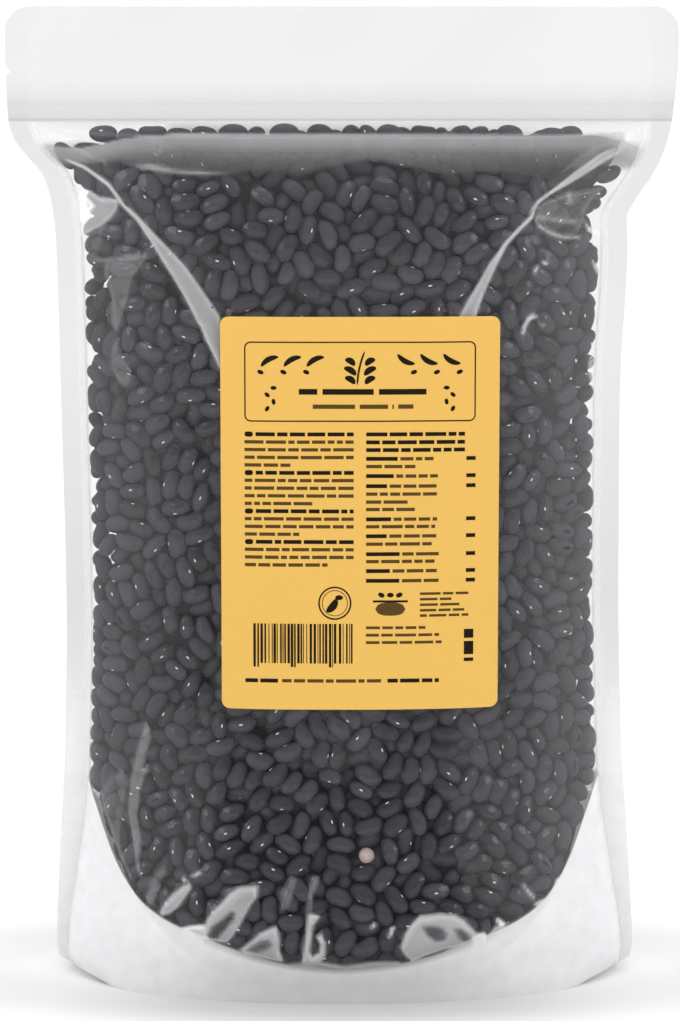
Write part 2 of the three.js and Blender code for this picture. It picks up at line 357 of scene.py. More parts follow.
def lattice_mesh(name, grids, caps):
    """A mesh of one long grid of points, closed into a ring along its rows.

    grids are arrays of rows x columns x 3, joined in order. caps says which rows meet at the two
    side edges, as lists of pairs of row numbers that are sewn together one after the other.
    """
    points = np.concatenate(grids)
    rows, columns = points.shape[:2]
    bm = bmesh.new()
    bmesh.ops.create_grid(bm, x_segments=columns - 1, y_segments=rows - 1, size=1)
    bm.verts.ensure_lookup_table()
    for vert, point in zip(bm.verts, points.reshape(-1, 3) * MM):
        vert.co = point
    verts = list(bm.verts)

    def at(row, column):
        return verts[(row % rows) * columns + column]

    for column in range(columns - 1):
        bm.faces.new([at(-1, column), at(-1, column + 1), at(0, column + 1), at(0, column)])
    for column in (0, columns - 1):
        for pairs in caps:
            for (a, b), (c, d) in zip(pairs[:-1], pairs[1:]):
                corners = [at(a, column), at(c, column), at(d, column), at(b, column)]
                bm.faces.new(list(dict.fromkeys(corners)))
    bmesh.ops.recalc_face_normals(bm, faces=bm.faces)
    mesh = bpy.data.meshes.new(name)
    bm.to_mesh(mesh)
    bm.free()
    return mesh


def facing_rows(count):
    """Pairs of rows that face each other in a ring of two grids with count rows each."""
    return [(row, 2 * count - 1 - row) for row in range(count)]


def header_wave(x, z):
    """Gentle waves of the stiff double film of the header and the side seals."""
    up = smooth_step(SEAL_LINE - WAVE_START, HEIGHT, z)
    return WAVE_HEIGHT * up * (np.sin(x / 23 + 0.6) + 0.6 * np.sin(x / 11 - z / 17))


def film_grids(front_y, back_y):
    """The ring of grids that makes the whole film: front, skirt, gusset, skirt and back."""
    x, z, weld_row = outer_sheet_places()
    back_x, back_z, _ = back_sheet_places()
    front = np.dstack([x, header_wave(x, z) - front_y, z])
    back = np.dstack([back_x, header_wave(back_x, back_z) + back_y, back_z])
    skirt_rows = slice(len(x) - 1, weld_row, -1)
    inner = np.maximum(front_y - SKIRT_GAP, FILM_HALF / 3)
    inner_front = np.dstack([x, -inner, z])[skirt_rows]
    inner_back = np.dstack([x, inner, z])[skirt_rows]
    across = np.linspace(-1, 1, GUSSET_ROWS)[:, None]
    gusset_x = np.broadcast_to(x[weld_row], (GUSSET_ROWS, x.shape[1]))
    gusset = np.dstack([gusset_x, across * inner[weld_row], gusset_height(gusset_x, across)])
    return [front, inner_front, gusset, inner_back[::-1], back[::-1]]


def film_caps():
    """Pairs of rows to sew along the side edges: both skirts, then front to back."""
    x, _, front_weld = outer_sheet_places()
    back_x, _, back_weld = back_sheet_places()
    gusset_first = len(x) + SKIRT_ROWS
    gusset_last = gusset_first + GUSSET_ROWS - 1
    last = gusset_last + SKIRT_ROWS + len(back_x)
    steps = range(SKIRT_ROWS + 1)
    front = [(front_weld + step, gusset_first - step) for step in steps]
    back = [(gusset_last + step, last - back_weld - step) for step in steps]
    header = front_weld - FRONT_ROWS
    down = [(row, last - row) for row in range(header)]
    down += [(header + row, last - header - row // BACK_SHARE) for row in range(FRONT_ROWS + 1)]
    down += [(gusset_first + row, gusset_last - row) for row in range(GUSSET_ROWS // 2)]
    return [front, back, down]


# The grid of cells that holds the depth below the film: its low corner, cell size and counts
FIELD_LOW = (-122.0, -52.0, -4.0)
CELL = 3.0
FIELD_CELLS = (83, 36, 114)
# Beans lie down to the shell's depth below the film, and those in the top layer rather flat on it
SHELL_DEPTH = 12.0
TOP_LAYER = 6.5
# How the beans settle: rounds, how often neighbours are looked for and how far off, and the
# shares of an overlap that is pushed away between beans, at the film and by laying a bean flat
PACK_STEPS = 150
PAIR_EVERY = 6
PAIR_REACH = 13.0
BEAN_PUSH = 0.25
FILM_PUSH = 0.5
FLATTEN = 0.25
# How far beans drift outward in a round, at first, the most that one moves or turns in a round,
# and how many places are tried for each at once
OUTWARD_DRIFT = 0.12
LONGEST_MOVE = 1.5
LARGEST_TURN = 0.3
TRIES_EACH = 8


def inside_bag(points):
    """True for points between the front, the back and the gusset."""
    x, y, z = points.T
    half = np.where(z < SEAL_LINE, bag_depth(x, z, True), 0)
    at_weld = np.maximum(bag_depth(x, weld_height(x), False), 1)
    above_gusset = z > gusset_height(x, y / at_weld)
    return (np.abs(y) < half) & above_gusset & (np.abs(x) < seam(x, z))


def depth_field(film):
    """Depth below the film on a grid of cells, and its slopes."""
    tree = BVHTree.FromPolygons([v.co / MM for v in film.vertices],
                                [tuple(p.vertices) for p in film.polygons])
    low = np.array(FIELD_LOW)
    shape = np.array(FIELD_CELLS)
    axes = [low[i] + CELL * np.arange(shape[i]) for i in range(3)]
    points = np.stack(np.meshgrid(*axes, indexing="ij"), -1).reshape(-1, 3)
    inside = inside_bag(points)
    near = np.array([tree.find_nearest(Vector(p))[3] for p in points])
    depth = np.where(inside, near, -near).reshape(shape)
    slopes = np.stack(np.gradient(depth, CELL), -1)
    return {"low": low, "shape": shape, "depth": depth, "slopes": slopes}


def read_field(field, points):
    """Depth and inward direction at points, blended between the grid's corners."""
    place = np.clip((points - field["low"]) / CELL, 0, field["shape"] - 1.001)
    corner = np.floor(place).astype(int)
    part = place - corner
    depth = np.zeros(len(points))
    slope = np.zeros((len(points), 3))
    for step in np.ndindex(2, 2, 2):
        weight = np.prod(np.where(step, part, 1 - part), 1)
        at = tuple((corner + step).T)
        depth += weight * field["depth"][at]
        slope += weight[:, None] * field["slopes"][at]
    length = np.maximum(np.linalg.norm(slope, axis=1), 1e-6)
    return depth, slope / length[:, None]


def near_pairs(points, reach):
    """Every pair of points closer than reach, found through cells of that size."""
    cells = np.floor(points / reach).astype(np.int64)
    cells -= cells.min(0) - 1
    span = cells.max(0) + 2
    key = (cells[:, 0] * span[1] + cells[:, 1]) * span[2] + cells[:, 2]
    order = np.argsort(key, kind="stable")
    ordered = key[order]
    found = []
    steps = [(a, b, c) for a in (-1, 0, 1) for b in (-1, 0, 1) for c in (-1, 0, 1)]
    # The cell itself stands in the middle, and from there on each pair of cells comes up once
    for a, b, c in steps[len(steps) // 2:]:
        wanted = key + (a * span[1] + b) * span[2] + c
        start = np.searchsorted(ordered, wanted, "left")
        count = np.searchsorted(ordered, wanted, "right") - start
        first = np.repeat(np.arange(len(points)), count)
        offset = np.arange(len(first)) - np.repeat(np.cumsum(count) - count, count)
        second = order[np.repeat(start, count) + offset]
        if (a, b, c) == (0, 0, 0):
            first, second = first[first < second], second[first < second]
        close = np.linalg.norm(points[first] - points[second], axis=1) < reach
        found.append(np.stack([first[close], second[close]]))
    return np.concatenate(found, axis=1)


def closest_on_rods(p, d, q, e):
    """Where two rods come closest: p + s d and q + t e, with s and t from -1 to 1."""
    dd, ee, de = (d * d).sum(1), (e * e).sum(1), (d * e).sum(1)
    r = p - q
    dr, er = (d * r).sum(1), (e * r).sum(1)
    cross = np.maximum(dd * ee - de * de, 1e-6)
    s = np.clip((de * er - ee * dr) / cross, -1, 1)
    t = np.clip((de * s + er) / ee, -1, 1)
    s = np.clip((de * t - dr) / dd, -1, 1)
    return s, t


def pack_beans(field, sizes, radius):
    """Settles beans as short round rods in the shell under the film, with a fixed random seed.

    sizes are the rods' half lengths and radius their thickness. Gives centres and directions.
    """
    rng = np.random.default_rng(SEED)
    high = field["low"] + CELL * (field["shape"] - 1)
    centres = np.zeros((0, 3))
    while len(centres) < len(sizes):
        tries = rng.uniform(field["low"], high, (len(sizes) * TRIES_EACH, 3))
        depth, _ = read_field(field, tries)
        kept = tries[(depth > radius) & (depth < SHELL_DEPTH)]
        centres = np.concatenate([centres, kept])[:len(sizes)]
    aim = rng.normal(size=(len(sizes), 3))
    aim /= np.linalg.norm(aim, axis=1)[:, None]
    count = len(sizes)
    for step in range(PACK_STEPS):
        if step % PAIR_EVERY == 0:
            first, second = near_pairs(centres, PAIR_REACH)
        rods = aim * sizes[:, None]
        s, t = closest_on_rods(centres[first], rods[first], centres[second], rods[second])
        gap = (centres[first] + s[:, None] * rods[first]
               - centres[second] - t[:, None] * rods[second])
        length = np.maximum(np.linalg.norm(gap, axis=1), 1e-6)
        push = np.maximum(2 * radius - length, 0)[:, None] * gap / length[:, None] * BEAN_PUSH
        moves = np.zeros((count, 3))
        turns = np.zeros((count, 3))
        for axis in range(3):
            moves[:, axis] += np.bincount(first, push[:, axis], count)
            moves[:, axis] -= np.bincount(second, push[:, axis], count)
            turns[:, axis] += np.bincount(first, push[:, axis] * s, count)
            turns[:, axis] -= np.bincount(second, push[:, axis] * t, count)
        for end in (-1, 1):
            depth, inward = read_field(field, centres + end * rods)
            shift = np.maximum(radius - depth, 0)[:, None] * inward * FILM_PUSH
            moves += shift
            turns += shift * end
        depth, inward = read_field(field, centres)
        moves -= np.maximum(depth - SHELL_DEPTH, 0)[:, None] * inward * FILM_PUSH
        moves -= inward * OUTWARD_DRIFT * (1 - step / PACK_STEPS)
        lean = (aim * inward).sum(1) * FLATTEN * (depth < TOP_LAYER)
        turns -= (lean * sizes)[:, None] * inward
        centres += np.clip(moves, -LONGEST_MOVE, LONGEST_MOVE)
        aim += np.clip(turns / sizes[:, None], -LARGEST_TURN, LARGEST_TURN)
        aim /= np.linalg.norm(aim, axis=1)[:, None]
    return centres, aim


# The kinds of bean that are mixed in the bag, and their size and share
BEAN_KINDS = {
    "beans_long": {"size": (11.8, 6.9, 5.9), "share": 0.34},
    "beans_plump": {"size": (11.0, 7.2, 6.2), "share": 0.40},
    "beans_small": {"size": (10.0, 6.6, 5.7), "share": 0.26},
}
BEAN_SCALES = (0.93, 1.05)
# A bean's bend, how full its ends are, and the depth and half length of its hollow side
BEAN_BEND = 0.55
BEAN_FULLNESS = 2.35
HOLLOW_DEPTH = 0.5
HOLLOW_HALF = 0.45
# Beans settle as rods of this radius, and then keep this far from the film
ROD_RADIUS = 3.15
BEAN_CLEAR = 0.1
# Beans near the film roll this far either way, from one of two opposite sides
ROLL_REACH = 1.5
HALF_TURN = 3.14
# The eye's length, width and height, how deep it sits, and how much a bean's hollow side has to
# face the film for the eye to be made, where 1 is straight at it
EYE_SIZE = (2.2, 0.8, 0.35)
EYE_SINK = 0.5
EYE_FACING = 0.1
# Steps round a bean and along it: near the film, deep in the heap, and on the pale bean
BEAN_STEPS = (14, 9)
DEEP_STEPS = (9, 6)
PALE_STEPS = (24, 14)
# One pale bean stands on end at the front: its size, and its X and Z
PALE_SIZE = (8.2, 6.3, 5.9)
PALE_PLACE = (13, 56)


def bean_template(size, around, along):
    """One bean at the origin: longest on X, its hollow side and eye toward -Y."""
    bm = bmesh.new()
    bmesh.ops.create_uvsphere(bm, u_segments=around, v_segments=along, radius=1)
    for vert in bm.verts:
        y, z, x = vert.co
        fuller = 1
        if abs(x) < 0.999:
            fuller = ((1 - abs(x) ** BEAN_FULLNESS) / (1 - x * x)) ** 0.5
        hollow = HOLLOW_DEPTH * math.exp(-(x / HOLLOW_HALF) ** 2) * max(0, -y) ** 2
        bend = BEAN_BEND * (1 / 3 - x * x)
        vert.co = (x * size[0] / 2, y * fuller * size[1] / 2 + bend + hollow,
                   z * fuller * size[2] / 2)
    return template_arrays(bm)


def eye_template():
    """The pale eye in the hollow side of a bean: a low oval cone."""
    bm = bmesh.new()
    bmesh.ops.create_cone(bm, cap_ends=True, segments=8, radius1=1, radius2=0.45, depth=1)
    for vert in bm.verts:
        x, z, y = vert.co
        vert.co = (x * EYE_SIZE[0] / 2, -y * EYE_SIZE[2], z * EYE_SIZE[1] / 2)
    return template_arrays(bm)


def template_arrays(bm):
    """Points and triangles of a small closed mesh, facing outward."""
    bmesh.ops.triangulate(bm, faces=bm.faces)
    bmesh.ops.recalc_face_normals(bm, faces=bm.faces)
    bm.verts.index_update()
    points = np.array([vert.co[:] for vert in bm.verts])
    triangles = np.array([[vert.index for vert in face.verts] for face in bm.faces])
    bm.free()
    return points, triangles


def scatter_mesh(name, template, centres, frames, tones):
    """One joined mesh with a copy of the template at each place, and a tone for each copy."""
    points, triangles = template
    count = len(centres)
    placed = np.einsum("nij,pj->npi", frames, points) + centres[:, None]
    corners = (triangles[None] + np.arange(count)[:, None, None] * len(points)).reshape(-1)
    mesh = bpy.data.meshes.new(name)
    mesh.vertices.add(count * len(points))
    mesh.vertices.foreach_set("co", (placed * MM).astype(np.float32).ravel())
    mesh.loops.add(len(corners))
    mesh.loops.foreach_set("vertex_index", corners.astype(np.int32))
    mesh.polygons.add(len(corners) // 3)
    mesh.polygons.foreach_set("loop_start", np.arange(0, len(corners), 3, dtype=np.int32))
    mesh.update(calc_edges=True)
    mesh.validate()
    tone = mesh.attributes.new("tone", "FLOAT", "POINT")
    tone.data.foreach_set("value", np.repeat(tones, len(points)).astype(np.float32))
    mesh.shade_smooth()
    return mesh


def chosen_beans(name, template, beans, chosen):
    """One joined mesh with a copy of the template for each chosen bean."""
    return scatter_mesh(name, template, beans["centres"][chosen], beans["frames"][chosen],
                        beans["tones"][chosen])


def bean_frames(field, centres, aim, rng):
    """Turning matrices: beans near the film lie rather flat on it, deeper ones turn freely."""
    depth, inward = read_field(field, centres)
    flat = inward - (inward * aim).sum(1)[:, None] * aim
    flat /= np.maximum(np.linalg.norm(flat, axis=1), 1e-6)[:, None]
    across = np.cross(flat, aim)
    roll = rng.uniform(-ROLL_REACH, ROLL_REACH, len(aim))
    roll = roll + np.where(rng.uniform(0, 1, len(aim)) < 0.5, 0, HALF_TURN)
    roll = np.where(depth < TOP_LAYER, roll, roll * 2)
    thick = flat * np.cos(roll)[:, None] + across * np.sin(roll)[:, None]
    side = np.cross(thick, aim)
    return np.stack([aim, side, thick], -1), depth, inward


@functools.lru_cache(maxsize=1)
def packed_beans(count):
    """Every bean in the bag: its kind, centre, turning matrix, size, tone and depth."""
    x, z, _ = outer_sheet_places()
    back_x, back_z, _ = back_sheet_places()
    envelope = film_grids(bag_depth(x, z, True), bag_depth(back_x, back_z, False))
    field = depth_field(lattice_mesh("envelope", envelope, film_caps()))
    rng = np.random.default_rng(SEED + 1)
    kinds = list(BEAN_KINDS)
    shares = [BEAN_KINDS[kind]["share"] for kind in kinds]
    kind = rng.choice(len(kinds), count, p=shares)
    lengths = np.array([BEAN_KINDS[name]["size"][0] for name in kinds])[kind]
    scale = rng.uniform(*BEAN_SCALES, count)
    centres, aim = pack_beans(field, (lengths * scale / 2 - ROD_RADIUS), ROD_RADIUS)
    frames, depth, inward = bean_frames(field, centres, aim, rng)
    half = np.array([BEAN_KINDS[name]["size"] for name in kinds])[kind] / 2 * scale[:, None]
    reach = np.sqrt(((np.einsum("nij,ni->nj", frames, inward) * half) ** 2).sum(1))
    centres = centres + inward * np.maximum(reach + BEAN_CLEAR - depth, 0)[:, None]
    order = np.argsort(depth)
    tones = rng.uniform(0, 1, count)
    away = np.hypot(*(centres[order][:, ::2] - PALE_PLACE).T)
    hidden = (centres[order][:, 1] > 0) | (depth[order] > TOP_LAYER)
    return {"kinds": kinds, "kind": kind[order], "centres": centres[order],
            "frames": frames[order] * scale[order][:, None, None], "tones": tones[order],
            "depth": depth[order], "inward": inward[order],
            "pale": np.argmin(np.where(hidden, np.inf, away))}


# The film drawn over the beans: a grid of places in X and Z
DRAPE_STEP = 1.0
DRAPE_X = np.arange(-120, 120.1, DRAPE_STEP)
DRAPE_Z = np.arange(0, 336.1, DRAPE_STEP)
DRAPE_SAG = 0.03
DRAPE_ROUNDS = 70
DRAPE_DEEPEST = 2.4
DRAPE_SHARE = 0.6
# How far in from a seam or weld the film comes to hang freely, how taut the label keeps it and how
# far round the label, and how near to the seams, the weld and the seal it keeps its own shape
LOOSE_RUN = 9
LABEL_TAUT = 0.8
LABEL_MARGIN = 3
WELD_MARGIN = 1
SEAL_MARGIN = 2
FILM_CLEAR = 0.15
# Where the film leaves the beans under the header: its height, its waves (height, length and
# turn), its fall toward the right, and from where to where below that height the beans hold it
TOP_BAND = 315
TOP_BAND_WAVES = [(2.2, 17, 1), (1.2, 7.3, 0)]
TOP_BAND_FALL = 3
TOP_BAND_FALL_PLACES = (60, 100)
BAND_HOLD = (-3, 5)
# Only beans this near to the film hold it up, each this many cells round its middle
HOLDING_DEPTH = 9
BEAN_REACH = 6
FAR_BEHIND = -99.0


def bean_tops(beans, side):
    """How far out the beans reach at each place of the drape grid; side is -1 front, 1 back."""
    reach = np.full((len(DRAPE_X), len(DRAPE_Z)), FAR_BEHIND)
    cells = np.arange(-BEAN_REACH, BEAN_REACH + 1)
    step_x, step_z = np.meshgrid(cells, cells, indexing="ij")
    facing = (beans["inward"][:, 1] * side < 0) & (beans["depth"] < HOLDING_DEPTH)
    for number, name in enumerate(beans["kinds"]):
        chosen = facing & (beans["kind"] == number)
        centres, frames = beans["centres"][chosen], beans["frames"][chosen]
        scale = np.linalg.norm(frames[:, :, 0], axis=1)
        half = scale[:, None] * np.array(BEAN_KINDS[name]["size"]) / 2
        column = np.rint((centres[:, 0] - DRAPE_X[0]) / DRAPE_STEP).astype(int)[:, None]
        row = np.rint((centres[:, 2] - DRAPE_Z[0]) / DRAPE_STEP).astype(int)[:, None]
        column = np.clip(column + step_x.ravel(), 0, len(DRAPE_X) - 1)
        row = np.clip(row + step_z.ravel(), 0, len(DRAPE_Z) - 1)
        offset = np.stack([DRAPE_X[column] - centres[:, :1], np.zeros(column.shape),
                           DRAPE_Z[row] - centres[:, 2:]], -1)
        axes = frames / scale[:, None, None]
        start = np.einsum("nki,nij->nkj", offset, axes) / half[:, None]
        ahead = side * axes[:, 1, :] / half
        blend = (start * ahead[:, None]).sum(-1)
        square = (ahead ** 2).sum(-1)[:, None]
        under = blend ** 2 - square * ((start ** 2).sum(-1) - 1)
        hit = under > 0
        out = side * centres[:, 1:2] + (np.sqrt(np.where(hit, under, 0)) - blend) / square
        np.maximum.at(reach, (column[hit], row[hit]), out[hit])
    return reach


def soften(grid):
    """Each point of a grid becomes the mean of its four neighbours."""
    padded = np.pad(grid, 1, mode="edge")
    return (padded[:-2, 1:-1] + padded[2:, 1:-1] + padded[1:-1, :-2] + padded[1:-1, 2:]) / 4


def label_cover(x, z):
    """1 under the label, falling to 0 over the margin round it."""
    inside_x = LABEL_WIDTH / 2 - np.abs(x - LABEL_X)
    inside_z = np.minimum(z - LABEL_LOW, LABEL_HIGH - z)
    return smooth_step(-LABEL_MARGIN, 0, np.minimum(inside_x, inside_z))


def top_band(x):
    """Height above which the film stands off the beans, under the header."""
    height = TOP_BAND
    for high, wide, turn in TOP_BAND_WAVES:
        height = height + high * np.sin(x / wide + turn)
    return height - TOP_BAND_FALL * smooth_step(*TOP_BAND_FALL_PLACES, x)


def draped_depth(beans, front):
    """Half depth of the film on the drape grid, once it is drawn over the beans."""
    x, z = np.meshgrid(DRAPE_X, DRAPE_Z, indexing="ij")
    envelope = bag_depth(x, z, front)
    tops = bean_tops(beans, -1 if front else 1)
    floor = np.maximum(tops + FILM_CLEAR, envelope - DRAPE_DEEPEST)
    film = np.maximum(envelope, floor)
    for _ in range(DRAPE_ROUNDS):
        film = np.maximum(soften(film) - DRAPE_SAG, floor)
    from_seam = smooth_step(0, LOOSE_RUN, seam(x, z) - np.abs(x))
    from_weld = smooth_step(0, LOOSE_RUN, z - weld_height(x))
    loose = from_seam * from_weld * smooth_step(*BAND_HOLD, top_band(x) - z)
    if front:
        loose = loose * (1 - LABEL_TAUT * label_cover(x, z))
    film = mix(envelope, film, loose * DRAPE_SHARE)
    within = (np.abs(x) < seam(x, z) - WELD_MARGIN) & (z > weld_height(x) + WELD_MARGIN)
    inside = within & (z < SEAL_LINE - SEAL_MARGIN)
    return np.where(inside, np.maximum(film, tops + FILM_CLEAR / 2), envelope)


def read_drape(grid, x, z):
    """Values of a drape grid at places, blended between its points."""
    u = np.clip((x - DRAPE_X[0]) / DRAPE_STEP, 0, len(DRAPE_X) - 1.001)
    v = np.clip((z - DRAPE_Z[0]) / DRAPE_STEP, 0, len(DRAPE_Z) - 1.001)
    i, j = u.astype(int), v.astype(int)
    s, t = u - i, v - j
    low = mix(grid[i, j], grid[i + 1, j], s)
    high = mix(grid[i, j + 1], grid[i + 1, j + 1], s)
    return mix(low, high, t)


